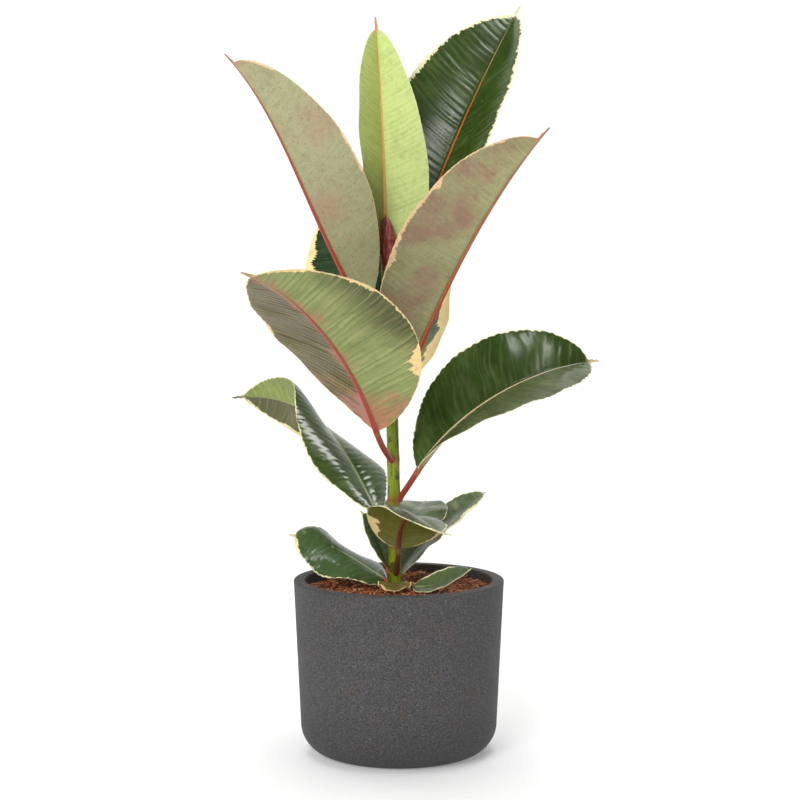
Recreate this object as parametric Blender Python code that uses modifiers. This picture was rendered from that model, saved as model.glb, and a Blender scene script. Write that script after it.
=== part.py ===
"""A potted rubber plant: variegated Ficus elastica in a round, charcoal-grey stone-look pot.

Metres, +Z up. The origin is the middle of the pot's base, on the floor it stands on. Each leaf is one closed
blade with its petiole; the stem, the sheath round the growing tip, the coir on top, the root ball and the pot
are solids of their own.
Bearings are in degrees from +X towards +Y, and a rise is in degrees above level.
"""

import math
from dataclasses import dataclass

import bmesh
import bpy
from mathutils import Vector

CLEARANCE = 0.0003

POT_HEIGHT = 0.125
POT_RIM_RADIUS = 0.075
POT_FOOT_RADIUS = 0.0692
POT_WALL = 0.0083
POT_FLOOR = 0.010
POT_FOOT_ROUND = 0.022
POT_INSIDE_ROUND = 0.014
POT_LIP_ROUND = 0.0012
POT_SIDES = 48

SOIL_TOP = 0.1125
COIR_TOP = 0.1175
COIR_RINGS = 7
COIR_MOUND = 0.0013
COIR_RISE_AT_WALL = 0.0012
COIR_LOW_SHARE = 0.35
COIR_LOW_FADE = 0.3
COIR_HEAPS = (95.0, 0.6, 110.0, -0.4)
COIR_SMALL_HEAPS = (190.0, -150.0, 0.5)

STEM_FOOT = 0.070
STEM_TOP = 0.352
STEM_FOOT_RADIUS = 0.0047
STEM_TOP_RADIUS = 0.0032
STEM_TAPER = 2.2
NODE_SWELLING = 0.00025
NODE_SPAN = 0.006
STEM_OFFSET = -0.003
STEM_LEAN = -0.0065
STEM_LEAN_FROM = 0.119
STEM_LEAN_SPAN = 0.236
STEM_SIDES = 14
STEM_STEP = 0.012

SHEATH_LENGTH = 0.032
SHEATH_RADIUS = 0.0042
SHEATH_FOOT_SHIFT = (0.0020, -0.0016)
SHEATH_TIP_SHIFT = (0.0002, -0.0024)
SHEATH_BOW = 0.0014
SHEATH_SECTIONS = 9
SHEATH_SIDES = 12
SHEATH_FOOT_SHARE = 0.62
SHEATH_BELLY_AT = 1.15
SHEATH_POINT = 2.6
SHEATH_TIP_RADIUS = 0.0004

PETIOLE_START = 0.0036
PETIOLE_ROOT = 0.0022
BLADE_THICKNESS = 0.0008
DRIP_FROM = 0.8
DRIP_WIDE = 0.0026
DRIP_NARROW = 0.0005
LATE_TWIST_FROM = 0.16
LATE_TWIST_TO = 0.76
RIB_SHARE = 0.42
RIB_TAPER = 0.85
RIB_SHOULDER = 0.0006
RIB_REACH_MOST = 0.25
PETIOLE_FLARE = 1.12
PETIOLE_WAIST = 0.95
BIG_LEAF = 0.155
BIG_COLUMNS = 3
BIG_STATIONS = 17
BIG_PETIOLE_PARTS = 5
SMALL_COLUMNS = 2
SMALL_STATIONS = 11
SMALL_PETIOLE_PARTS = 3
CURL_STEPS = 8
MIDRIB_STEPS = 6


@dataclass
class Leaf:
    """The dimensions that shape one leaf: lengths in metres, angles in degrees."""

    name: str
    node: float
    petiole: float
    lift: float
    bearing: float
    rise: float
    length: float
    width: float
    fold: float
    full: float
    drip: float
    thick: float = 0.0042
    sway: float = 0.0
    late_sway: float = 0.0
    bend: float = 0.0
    hook: float = 0.0
    curl: float = 0.0
    roll: float = 0.0
    twist: float = 0.0
    late_twist: float = 0.0
    swell: float = 1.0
    wave: float = 0.0008
    waves: float = 4.0
    wave_start: float = 75.0
    color: tuple = (0.05, 0.12, 0.03)


ADAXIAL = (0.04, 0.10, 0.03)
ABAXIAL = (0.25, 0.22, 0.11)
GREY_GREEN = (0.10, 0.15, 0.08)

LEAVES = [
    Leaf("leaf_top_new", node=0.344, petiole=0.012, lift=80, bearing=108, rise=91, bend=-16, length=0.160,
         width=0.066, fold=40, roll=18, twist=-34, full=0.53, swell=0.65, drip=0.010, thick=0.0034,
         wave=0.0005, color=(0.35, 0.50, 0.14)),
    Leaf("leaf_upper_right", node=0.327, petiole=0.032, lift=45, bearing=30, sway=20, rise=70, bend=-20,
         length=0.203, width=0.100, fold=35, roll=33, twist=-20, full=0.68, drip=0.010, color=ADAXIAL),
    Leaf("leaf_upper_left", node=0.285, petiole=0.037, lift=66, bearing=206, sway=-38, rise=58, bend=25,
         hook=-38, length=0.194, width=0.090, fold=50, roll=16, full=0.60, drip=0.009, color=ABAXIAL),
    Leaf("leaf_right_forward", node=0.254, petiole=0.024, lift=45, bearing=308, sway=5, rise=57, bend=-10,
         hook=-8, length=0.207, width=0.099, fold=45, roll=26, twist=-12, full=0.48, drip=0.012,
         color=ABAXIAL),
    Leaf("leaf_lower_right", node=0.182, petiole=0.026, lift=55, bearing=-12, sway=55, rise=58, bend=-64,
         hook=6, length=0.157, width=0.081, fold=30, roll=28, twist=25, full=0.60, drip=0.012, wave=0.0014,
         waves=6, color=ADAXIAL),
    Leaf("leaf_front_left", node=0.211, petiole=0.046, lift=20, bearing=254, sway=-15, rise=43, bend=-22,
         hook=-8, length=0.218, width=0.104, fold=20, roll=-7, twist=30, full=0.78, swell=0.82, drip=0.012,
         color=ABAXIAL),
    Leaf("leaf_twisted_left", node=0.152, petiole=0.0255, lift=39, bearing=124, sway=-24, late_sway=90,
         rise=45, bend=-32, hook=-20, length=0.181, width=0.077, fold=10, curl=-32, roll=7, late_twist=53,
         full=0.69, swell=0.96, drip=0.0085, color=ADAXIAL),
    Leaf("leaf_behind_stem", node=0.150, petiole=0.008, lift=50, bearing=70, rise=30, bend=-27,
         length=0.056, width=0.055, fold=10, roll=16, twist=-23, full=0.56, drip=0.006, thick=0.0026,
         color=GREY_GREEN),
    Leaf("leaf_small_front", node=0.129, petiole=0.022, lift=50, bearing=283, sway=25, rise=83, bend=-195,
         hook=118, length=0.080, width=0.057, fold=21, curl=-40, roll=-28, twist=21, full=0.67, swell=0.74,
         drip=0.013, thick=0.0034, wave=0.0005, color=ABAXIAL),
    Leaf("leaf_small_right", node=0.122, petiole=0.005, lift=42, bearing=69, sway=-60, rise=31, bend=2,
         length=0.101, width=0.038, fold=13, roll=-21, twist=44, full=0.46, swell=0.90, drip=0.002,
         thick=0.0026, color=GREY_GREEN),
    Leaf("leaf_narrow_left", node=0.128, petiole=0.006, lift=58, bearing=195, rise=76, bend=-22,
         length=0.043, width=0.027, fold=23, roll=-50, twist=-14, full=0.65, drip=0.003, thick=0.0024,
         color=ADAXIAL),
    Leaf("leaf_low_left", node=0.122, petiole=0.0043, lift=15, bearing=160, sway=20, rise=32, bend=-5,
         hook=-25, length=0.073, width=0.056, fold=-3, curl=-25, roll=-5, twist=-20, full=0.32, swell=1.15,
         drip=0.005, thick=0.0026, wave=0.0048, waves=1.5, wave_start=17, color=ADAXIAL),
    Leaf("leaf_low_right", node=0.1205, petiole=0.012, lift=0, bearing=-35, sway=28, rise=2, bend=34,
         length=0.046, width=0.028, fold=15, roll=38, twist=-25, full=0.50, swell=1.30, drip=0.002,
         thick=0.0022, color=GREY_GREEN),
    Leaf("leaf_withered", node=0.122, petiole=0.004, lift=0, bearing=270, rise=20, bend=-60, length=0.018,
         width=0.024, fold=0, full=0.55, drip=0.001, thick=0.0022, color=(0.20, 0.17, 0.07)),
    Leaf("leaf_rear_left", node=0.269, petiole=0.023, lift=55, bearing=115, sway=-10, rise=40, bend=5,
         length=0.150, width=0.066, fold=15, roll=-25, twist=-25, full=0.65, drip=0.008, color=ADAXIAL),
    Leaf("leaf_rear_right", node=0.251, petiole=0.023, lift=45, bearing=38, sway=-5, rise=58, bend=38,
         length=0.105, width=0.064, fold=20, roll=10, twist=-15, full=0.60, drip=0.008, color=GREY_GREEN),
]


def clear_scene():
    """Remove every object that the file opens with."""
    for obj in list(bpy.data.objects):
        bpy.data.objects.remove(obj, do_unlink=True)


def make_material(name, color, roughness, metallic=0.0):
    """Return a Principled material of one colour."""
    material = bpy.data.materials.new(name)
    material.use_nodes = True
    shader = material.node_tree.nodes["Principled BSDF"]
    shader.inputs["Base Color"].default_value = (*color, 1.0)
    shader.inputs["Roughness"].default_value = roughness
    shader.inputs["Metallic"].default_value = metallic
    return material


def add_object(name, mesh, collection, material=None):
    """Put a mesh in the collection as a named object with its material, shaded smooth."""
    obj = bpy.data.objects.new(name, mesh)
    collection.objects.link(obj)
    if material:
        mesh.materials.clear()
        mesh.materials.append(material)
    mesh.shade_smooth()
    mesh.set_sharp_from_angle(angle=math.radians(40))
    return obj


def evaluated_mesh(obj, weld=0.00005):
    """Return the object's evaluated mesh, welded, and remove the object."""
    graph = bpy.context.evaluated_depsgraph_get()
    mesh = bpy.data.meshes.new_from_object(obj.evaluated_get(graph))
    shape = bmesh.new()
    shape.from_mesh(mesh)
    bmesh.ops.remove_doubles(shape, verts=shape.verts, dist=weld)
    bmesh.ops.recalc_face_normals(shape, faces=shape.faces)
    shape.to_mesh(mesh)
    shape.free()
    bpy.data.objects.remove(obj, do_unlink=True)
    return mesh


def turned_mesh(name, profile, collection, steps):
    """Return the mesh of a profile of (radius, height) points turned about Z; it runs down its outer side."""
    mesh = bpy.data.meshes.new(name)
    verts = [(radius, 0.0, height) for radius, height in profile]
    mesh.from_pydata(verts, [(i, i + 1) for i in range(len(verts) - 1)], [])
    obj = bpy.data.objects.new(name, mesh)
    collection.objects.link(obj)
    screw = obj.modifiers.new("turn", "SCREW")
    screw.steps = steps
    screw.render_steps = steps
    screw.use_merge_vertices = True
    screw.merge_threshold = 0.00005
    return evaluated_mesh(obj)


def arc(center, radius, start, end, steps):
    """Return points of an arc in the (radius, height) plane, from one angle to another in degrees."""
    points = []
    for i in range(steps + 1):
        angle = math.radians(start + (end - start) * i / steps)
        points.append((center[0] + radius * math.cos(angle), center[1] + radius * math.sin(angle)))
    return points


def pot_outer_radius(height):
    """Radius of the pot's straight outer side at a height."""
    return POT_FOOT_RADIUS + (POT_RIM_RADIUS - POT_FOOT_RADIUS) * height / POT_HEIGHT


def pot_inner_radius(height):
    """Radius of the pot's inside at a height above its inside round."""
    return pot_outer_radius(height) - POT_WALL


def build_pot(collection):
    """The pot: straight tapered side, rounded foot, a wall of even thickness and a soft lip."""
    lip = POT_LIP_ROUND
    inside = pot_inner_radius(POT_HEIGHT)
    round_top = POT_FLOOR + POT_INSIDE_ROUND
    inner_center = (pot_inner_radius(round_top) - POT_INSIDE_ROUND, round_top)
    inner_round = arc(inner_center, POT_INSIDE_ROUND, 270, 360, 4)
    foot_center = (pot_outer_radius(POT_FOOT_ROUND) - POT_FOOT_ROUND, POT_FOOT_ROUND)
    foot = arc(foot_center, POT_FOOT_ROUND, 0, -90, 7)
    profile = [(0.0, POT_FLOOR)]
    profile += inner_round
    profile += arc((inside + lip, POT_HEIGHT - lip), lip, 180, 90, 2)
    profile += arc((POT_RIM_RADIUS - lip, POT_HEIGHT - lip), lip, 90, 0, 2)
    profile += foot
    profile += [(0.0, 0.0)]
    mesh = turned_mesh("pot", profile, collection, POT_SIDES)
    return add_object("pot", mesh, collection, make_material("pot_charcoal", (0.08, 0.08, 0.08), 0.75))


def build_soil(collection, stem_cutter):
    """The root ball, which fills the pot up to the coir, with a blind hole for the stem."""
    round_top = POT_FLOOR + POT_INSIDE_ROUND
    radius = POT_INSIDE_ROUND - CLEARANCE
    center = (pot_inner_radius(round_top) - POT_INSIDE_ROUND, round_top)
    profile = [(0.0, SOIL_TOP), (pot_inner_radius(SOIL_TOP) - CLEARANCE, SOIL_TOP)]
    profile += arc(center, radius, 0, -90, 4)
    profile += [(0.0, POT_FLOOR + CLEARANCE)]
    mesh = turned_mesh("soil", profile, collection, POT_SIDES)
    soil = add_object("soil", mesh, collection, make_material("potting_soil", (0.03, 0.02, 0.012), 0.95))
    cut(soil, stem_cutter)
    return soil


def coir_height(x, y):
    """Height of the coir's top at a place: low round the stem, with soft heaps, higher at the wall."""
    radius = math.hypot(x, y)
    share = radius / pot_inner_radius(COIR_TOP)
    per_x, shift_x, per_y, shift_y = COIR_HEAPS
    heaps = math.sin(per_x * x + shift_x) * math.cos(per_y * y + shift_y)
    small_x, small_y, small = COIR_SMALL_HEAPS
    heaps += small * math.sin(small_x * x + small_y * y)
    away = min(1.0, max(0.0, (share - COIR_LOW_SHARE) / COIR_LOW_FADE))
    return COIR_TOP + COIR_RISE_AT_WALL * share ** 2 + COIR_MOUND * away * heaps


def build_coir(collection, stem_cutter):
    """The layer of coir on the soil: a disc whose top is mounded, with a hole for the stem."""
    edge = pot_inner_radius(COIR_TOP) - 2 * CLEARANCE
    foot = SOIL_TOP + CLEARANCE
    profile = [(edge * i / COIR_RINGS, COIR_TOP) for i in range(COIR_RINGS + 1)]
    profile += [(pot_inner_radius(foot) - CLEARANCE, foot), (0.0, foot)]
    mesh = turned_mesh("coir_topping", profile, collection, POT_SIDES)
    for vertex in mesh.vertices:
        if vertex.co.z > (COIR_TOP + foot) / 2:
            vertex.co.z = coir_height(vertex.co.x, vertex.co.y)
    coir = add_object("coir_topping", mesh, collection, make_material("coir", (0.35, 0.13, 0.06), 0.95))
    cut(coir, stem_cutter)
    return coir


def stem_axis(height):
    """Middle of the stem at a height: it leans gently to the left on the way up."""
    share = max(0.0, (height - STEM_LEAN_FROM) / STEM_LEAN_SPAN)
    return Vector((STEM_OFFSET + STEM_LEAN * share ** 2, 0.0, height))


def stem_radius(height):
    """Radius of the stem at a height, a little swollen where each leaf leaves it."""
    share = max(0.0, (height - STEM_FOOT) / (STEM_TOP - STEM_FOOT))
    radius = STEM_FOOT_RADIUS + (STEM_TOP_RADIUS - STEM_FOOT_RADIUS) * share ** STEM_TAPER
    nearest = min(abs(height - leaf.node) for leaf in LEAVES)
    return radius + NODE_SWELLING * math.exp(-((nearest / NODE_SPAN) ** 2))


def tube_mesh(name, points, radii, collection, sides):
    """Return the mesh of a round bar along points, with its own radius at each and flat ends."""
    curve = bpy.data.curves.new(name, "CURVE")
    curve.dimensions = "3D"
    curve.bevel_depth = 1.0
    curve.bevel_resolution = (sides - 4) // 2
    curve.use_fill_caps = True
    spline = curve.splines.new("POLY")
    spline.points.add(len(points) - 1)
    for target, point, radius in zip(spline.points, points, radii):
        target.co = (*point, 1.0)
        target.radius = radius
    obj = bpy.data.objects.new(name, curve)
    collection.objects.link(obj)
    return evaluated_mesh(obj)


def stem_stations():
    """Heights of the stem's sections, from its foot in the soil to its top."""
    count = round((STEM_TOP - STEM_FOOT) / STEM_STEP)
    return [STEM_FOOT + (STEM_TOP - STEM_FOOT) * i / count for i in range(count + 1)]


def build_stem(collection):
    """The woody stem, one tapering bar from the root ball to the growing tip."""
    heights = stem_stations()
    points = [stem_axis(z) for z in heights]
    mesh = tube_mesh("stem", points, [stem_radius(z) for z in heights], collection, STEM_SIDES)
    return add_object("stem", mesh, collection, make_material("green_bark", (0.12, 0.20, 0.02), 0.45))


def build_stem_cutter(collection):
    """The stem's shape with its clearance, which cuts the stem's hole and the petioles' ends."""
    heights = stem_stations()
    heights[0] -= CLEARANCE
    heights[-1] += CLEARANCE
    points = [stem_axis(z) for z in heights]
    radii = [stem_radius(z) + CLEARANCE for z in heights]
    mesh = tube_mesh("stem_clearance", points, radii, collection, STEM_SIDES)
    cutter = add_object("stem_clearance", mesh, collection)
    cutter.hide_render = True
    cutter.display_type = "WIRE"
    return cutter


def build_bud_sheath(collection):
    """The pointed sheath of the growing tip, on the stem's top in front of the newest leaf."""
    top = stem_axis(STEM_TOP)
    foot = top + Vector((*SHEATH_FOOT_SHIFT, CLEARANCE))
    tip = top + Vector((*SHEATH_TIP_SHIFT, SHEATH_LENGTH))
    points = []
    radii = []
    for i in range(SHEATH_SECTIONS + 1):
        share = i / SHEATH_SECTIONS
        bow = SHEATH_BOW * math.sin(math.pi * share)
        points.append(foot.lerp(tip, share) + Vector((bow, 0.0, 0.0)))
        swelling = math.sin(math.pi * min(1.0, share * SHEATH_BELLY_AT))
        belly = SHEATH_FOOT_SHARE + (1 - SHEATH_FOOT_SHARE) * swelling
        radii.append(SHEATH_RADIUS * belly * (1 - share ** SHEATH_POINT) + SHEATH_TIP_RADIUS)
    mesh = tube_mesh("bud_sheath", points, radii, collection, SHEATH_SIDES)
    return add_object("bud_sheath", mesh, collection, make_material("sheath_maroon", (0.20, 0.03, 0.03), 0.4))


def cut(obj, cutter):
    """Take the cutter's shape out of the object."""
    modifier = obj.modifiers.new("clearance", "BOOLEAN")
    modifier.operation = "DIFFERENCE"
    modifier.object = cutter


def directions(bearing, rise, roll=0.0):
    """Return the along, side and up directions; a positive roll turns the right side down."""
    b, r, q = (math.radians(value) for value in (bearing, rise, roll))
    along = Vector((math.cos(r) * math.cos(b), math.cos(r) * math.sin(b), math.sin(r)))
    up = Vector((-math.sin(r) * math.cos(b), -math.sin(r) * math.sin(b), math.cos(r)))
    side = along.cross(up)
    return along, side * math.cos(q) - up * math.sin(q), up * math.cos(q) + side * math.sin(q)


def blade_directions(leaf, share):
    """Return the along, side and up directions of the midrib at a share of the blade."""
    ease = min(1.0, max(0.0, (share - LATE_TWIST_FROM) / (LATE_TWIST_TO - LATE_TWIST_FROM)))
    return directions(
        leaf.bearing + leaf.sway * share + leaf.late_sway * share ** 3,
        leaf.rise + leaf.bend * share + leaf.hook * share ** 3,
        leaf.roll + leaf.twist * share + leaf.late_twist * ease * ease * (3 - 2 * ease),
    )


def half_width(leaf, share):
    """Return the blade's half width at a share of its length, down to the narrow drip tip."""
    place = min(1.0, share * (leaf.length + leaf.drip) / leaf.length)
    blade = leaf.width / 2 * max(0.0, math.sin(math.pi * place ** leaf.swell)) ** leaf.full
    past = max(0.0, (share - DRIP_FROM) / (1 - DRIP_FROM))
    drip = DRIP_WIDE + (DRIP_NARROW - DRIP_WIDE) * past if past > 0 else DRIP_NARROW
    return max(blade, drip)


def across(leaf, reach):
    """Return how far out and up the blade lies at a share of its half width, and its slope there."""
    out = 0.0
    up = 0.0
    for i in range(CURL_STEPS):
        angle = math.radians(leaf.fold + leaf.curl * reach * (i + 0.5) / CURL_STEPS)
        out += math.cos(angle) * reach / CURL_STEPS
        up += math.sin(angle) * reach / CURL_STEPS
    return out, up, math.radians(leaf.fold + leaf.curl * reach)


def blade_ring(leaf, middle, share, columns):
    """Return the points round the blade's section: its upper face from left to right, then the lower face."""
    _, side, up = blade_directions(leaf, share)
    half = half_width(leaf, share)
    rib = leaf.thick * RIB_SHARE * (1 - RIB_TAPER * share)
    beside = min(RIB_REACH_MOST, (rib + RIB_SHOULDER) / half)
    reaches = [0.0] + [beside + (1 - beside) * i / columns for i in range(columns + 1)]
    upper = []
    lower = []
    for sign in (-1, 1):
        for reach in reaches if sign > 0 else reversed(reaches[1:]):
            out, rise, slope = across(leaf, reach)
            normal = up * math.cos(slope) - side * sign * math.sin(slope)
            ripple = leaf.wave * half / (leaf.width / 2) * reach ** 2
            phase = 2 * math.pi * leaf.waves * share + sign * math.radians(leaf.wave_start)
            ripple *= math.sin(phase)
            point = middle + side * sign * out * half + up * rise * half + normal * ripple
            if reach == 0.0:
                normal = up / math.cos(slope)
            upper.append(point + normal * BLADE_THICKNESS / 2)
            lower.append(point - normal * BLADE_THICKNESS / 2 - up * (rib if reach == 0.0 else 0.0))
    return upper, lower


def petiole_ring(middle, side, up, radius, count):
    """Return the points round the petiole's section, as many as a blade section has."""
    upper = []
    lower = []
    for i in range(count):
        angle = math.pi * (1 - (i + 0.5) / count)
        upper.append(middle + side * radius * math.cos(angle) + up * radius * math.sin(angle))
        lower.append(middle + side * radius * math.cos(angle) - up * radius * math.sin(angle))
    return upper, lower


def leaf_rings(leaf):
    """Return the sections of a leaf from inside the stem to the tip of the blade."""
    big = leaf.length > BIG_LEAF
    columns = BIG_COLUMNS if big else SMALL_COLUMNS
    stations = BIG_STATIONS if big else SMALL_STATIONS
    parts = BIG_PETIOLE_PARTS if big else SMALL_PETIOLE_PARTS
    count = 2 * (columns + 1) + 1
    rings = []
    step = leaf.petiole / parts
    radius = leaf.thick / 2
    outward, _, _ = directions(leaf.bearing, 0.0)
    middle = stem_axis(leaf.node) + outward * PETIOLE_START
    along, side, up = directions(leaf.bearing, leaf.lift, leaf.roll)
    rings.append(petiole_ring(middle - along * PETIOLE_ROOT, side, up, radius * PETIOLE_FLARE, count))
    for i in range(parts):
        rise = leaf.lift + (leaf.rise - leaf.lift) * (i + 0.5) / parts
        along, side, up = directions(leaf.bearing, rise, leaf.roll)
        middle = middle + along * step
        if i < parts - 1:
            rings.append(petiole_ring(middle, side, up, radius, count))
    _, side, up = blade_directions(leaf, 0.0)
    rings.append(petiole_ring(middle, side, up, radius * PETIOLE_WAIST, count))
    previous = 0.0
    total = leaf.length + leaf.drip
    for i in range(1, stations + 1):
        share = (1 - math.cos(math.pi * i / stations)) / 2
        for j in range(MIDRIB_STEPS):
            between = previous + (share - previous) * (j + 0.5) / MIDRIB_STEPS
            along, _, _ = blade_directions(leaf, between)
            middle = middle + along * total * (share - previous) / MIDRIB_STEPS
        rings.append(blade_ring(leaf, middle, share, columns))
        previous = share
    return rings


def loft(name, rings):
    """Join sections into one closed mesh, its upper and lower faces split into triangles alike."""
    shape = bmesh.new()
    rows = [tuple([shape.verts.new(point) for point in face] for face in ring) for ring in rings]
    last = len(rows[0][0]) - 1
    for (up0, low0), (up1, low1) in zip(rows, rows[1:]):
        for i in range(last):
            top = (up0[i], up0[i + 1], up1[i + 1], up1[i])
            bottom = (low0[i], low1[i], low1[i + 1], low0[i + 1])
            if i * 2 < last:
                shape.faces.new((top[0], top[1], top[2]))
                shape.faces.new((top[0], top[2], top[3]))
                shape.faces.new((bottom[0], bottom[1], bottom[2]))
                shape.faces.new((bottom[0], bottom[2], bottom[3]))
            else:
                shape.faces.new((top[0], top[1], top[3]))
                shape.faces.new((top[1], top[2], top[3]))
                shape.faces.new((bottom[0], bottom[1], bottom[3]))
                shape.faces.new((bottom[1], bottom[2], bottom[3]))
        shape.faces.new((low0[0], up0[0], up1[0], low1[0]))
        shape.faces.new((up0[last], low0[last], low1[last], up1[last]))
    for (upper, lower), order in ((rows[0], 1), (rows[-1], -1)):
        for i in range(last):
            corners = (upper[i], lower[i], lower[i + 1], upper[i + 1])
            shape.faces.new(corners[::order])
    bmesh.ops.triangulate(shape, faces=[f for f in shape.faces if len(f.verts) > 3])
    bmesh.ops.recalc_face_normals(shape, faces=shape.faces)
    mesh = bpy.data.meshes.new(name)
    shape.to_mesh(mesh)
    shape.free()
    return mesh


def build_leaf(leaf, collection, stem_cutter):
    """One leaf: petiole, blade with its raised midrib underneath, and drip tip, cut clear of the stem."""
    material = make_material(leaf.name, leaf.color, 0.35)
    obj = add_object(leaf.name, loft(leaf.name, leaf_rings(leaf)), collection, material)
    cut(obj, stem_cutter)
    return obj


def main():
    """Build the whole plant in its pot."""
    clear_scene()
    plant = bpy.data.collections.new("potted_rubber_plant")
    cutters = bpy.data.collections.new("cutters")
    for collection in (plant, cutters):
        bpy.context.scene.collection.children.link(collection)
    stem_cutter = build_stem_cutter(cutters)
    build_pot(plant)
    build_soil(plant, stem_cutter)
    build_coir(plant, stem_cutter)
    build_stem(plant)
    build_bud_sheath(plant)
    for leaf in LEAVES:
        build_leaf(leaf, plant, stem_cutter)


main()
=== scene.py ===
"""Dresses the potted rubber plant: leaves, stem, coir and pot, their finishes and a plain studio.

Metres, +Z up, in the same frame as the solids. Geometry Nodes loft each leaf, the stem and the bud sheath
along a spine and scatter the coir fibres. Shader node groups hold the variegation, the colours of a leaf's
face and the stone-like speckle.
"""

import logging
import math
from dataclasses import dataclass, replace
from enum import Enum
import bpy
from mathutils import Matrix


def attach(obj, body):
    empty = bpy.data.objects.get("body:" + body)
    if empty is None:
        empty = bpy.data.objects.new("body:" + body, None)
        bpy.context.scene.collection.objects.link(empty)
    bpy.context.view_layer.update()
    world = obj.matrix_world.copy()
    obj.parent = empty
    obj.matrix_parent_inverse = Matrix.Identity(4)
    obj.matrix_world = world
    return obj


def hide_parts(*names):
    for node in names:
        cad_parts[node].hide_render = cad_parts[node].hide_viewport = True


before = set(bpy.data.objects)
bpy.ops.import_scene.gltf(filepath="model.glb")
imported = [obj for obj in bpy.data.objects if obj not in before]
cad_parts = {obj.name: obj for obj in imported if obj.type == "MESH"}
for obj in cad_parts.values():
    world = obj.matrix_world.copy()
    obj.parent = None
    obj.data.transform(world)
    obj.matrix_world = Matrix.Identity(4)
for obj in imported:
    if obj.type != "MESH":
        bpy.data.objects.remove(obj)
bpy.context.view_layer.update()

from types import SimpleNamespace

import bpy
import numpy as np
from mathutils import Vector

log = logging.getLogger("rubber_plant")

Color = tuple[float, float, float, float]
Vectors = tuple[np.ndarray, np.ndarray, np.ndarray]

CIRCLE = 2 * math.pi
MM = 1000.0  # Millimetres in a metre: the pattern on a leaf is measured in them.
STEM_TOP = 0.352
MIX_INPUTS = (0, 6, 7)  # The places of the factor and the two colours on a Mix node,
MIX_OUTPUT = 2  # and the place of the mixed colour.


def shade(red: int, green: int, blue: int) -> Color:
    """Turn a colour as seen on a screen into the linear colour that a shader takes.

    Args:
        red, green, blue: Screen values from 0 to 255.

    Returns:
        The linear colour with full alpha.
    """
    values = [v / 255 for v in (red, green, blue)]
    linear = [v / 12.92 if v <= 0.04045 else ((v + 0.055) / 1.055) ** 2.4 for v in values]
    return (linear[0], linear[1], linear[2], 1.0)


class Slot(Enum):
    """The finishes that pieces carry, as the plant's record names them."""

    POT = "pot"
    COIR = "coir"
    BARK = "bark"
    BUD = "bud"
    GREEN = "green_leaf"
    YOUNG = "young_leaf"
    GREY = "grey_green_leaf"
    UNDERSIDE = "leaf_underside"
    WITHERED = "withered_leaf"


class Kind(Enum):
    """What a socket of a node tree carries."""

    NUMBER = "NodeSocketFloat"
    WHOLE = "NodeSocketInt"
    COLOR = "NodeSocketColor"
    SHAPE = "NodeSocketGeometry"
    FINISH = "NodeSocketMaterial"


class Field:
    """A value inside a node tree; Python's own operators add the Math nodes."""

    def __init__(self, graph: "Graph", socket: bpy.types.NodeSocket) -> None:
        """Hold a socket of a graph."""
        self.graph = graph
        self.socket = socket

    def math(self, operation: str, *others: object) -> "Field":
        """Return the result of a Math node whose first input is this value."""
        return self.graph.add("ShaderNodeMath", dict(enumerate((self, *others))), operation=operation)

    def vector_math(self, operation: str, *others: object) -> "Field":
        """Return the result of a Vector Math node whose first input is this value."""
        return self.graph.add("ShaderNodeVectorMath", dict(enumerate((self, *others))), operation=operation)

    def __add__(self, other: object) -> "Field":
        """Add a value."""
        return self.math("ADD", other)

    __radd__ = __add__

    def __sub__(self, other: object) -> "Field":
        """Take a value away."""
        return self.math("SUBTRACT", other)

    def __rsub__(self, other: float) -> "Field":
        """Take this from a number."""
        return self.graph.add("ShaderNodeMath", {0: other, 1: self}, operation="SUBTRACT")

    def __mul__(self, other: object) -> "Field":
        """Multiply by a value."""
        return self.math("MULTIPLY", other)

    def __truediv__(self, other: object) -> "Field":
        """Divide by a value."""
        return self.math("DIVIDE", other)

    def __rtruediv__(self, other: float) -> "Field":
        """Divide a number by this."""
        return self.graph.add("ShaderNodeMath", {0: other, 1: self}, operation="DIVIDE")

    def __pow__(self, other: object) -> "Field":
        """Raise to a power."""
        return self.math("POWER", other)

    def __abs__(self) -> "Field":
        """Drop the sign."""
        return self.math("ABSOLUTE")

    def scaled(self, factor: object) -> "Field":
        """Return this vector times a number."""
        return self.graph.add("ShaderNodeVectorMath", {0: self, "Scale": factor}, operation="SCALE")

    def plus(self, other: object) -> "Field":
        """Return this vector plus another."""
        return self.vector_math("ADD", other)

    def part(self, axis: int) -> "Field":
        """Return one component of this vector."""
        return self.graph.add("ShaderNodeSeparateXYZ", {0: self}, out=axis)

    def ramp(self, start: float, end: float, low: float = 0.0, high: float = 1.0) -> "Field":
        """Ease from low to high while this value runs from start to end.

        Args:
            start, end: The values of this field between which the result changes.
            low, high: The results at start and at end.

        Returns:
            The eased value.
        """
        feeds = {"Value": self, "From Min": start, "From Max": end, "To Min": low, "To Max": high}
        return self.graph.add("ShaderNodeMapRange", feeds, interpolation_type="SMOOTHSTEP")


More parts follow.
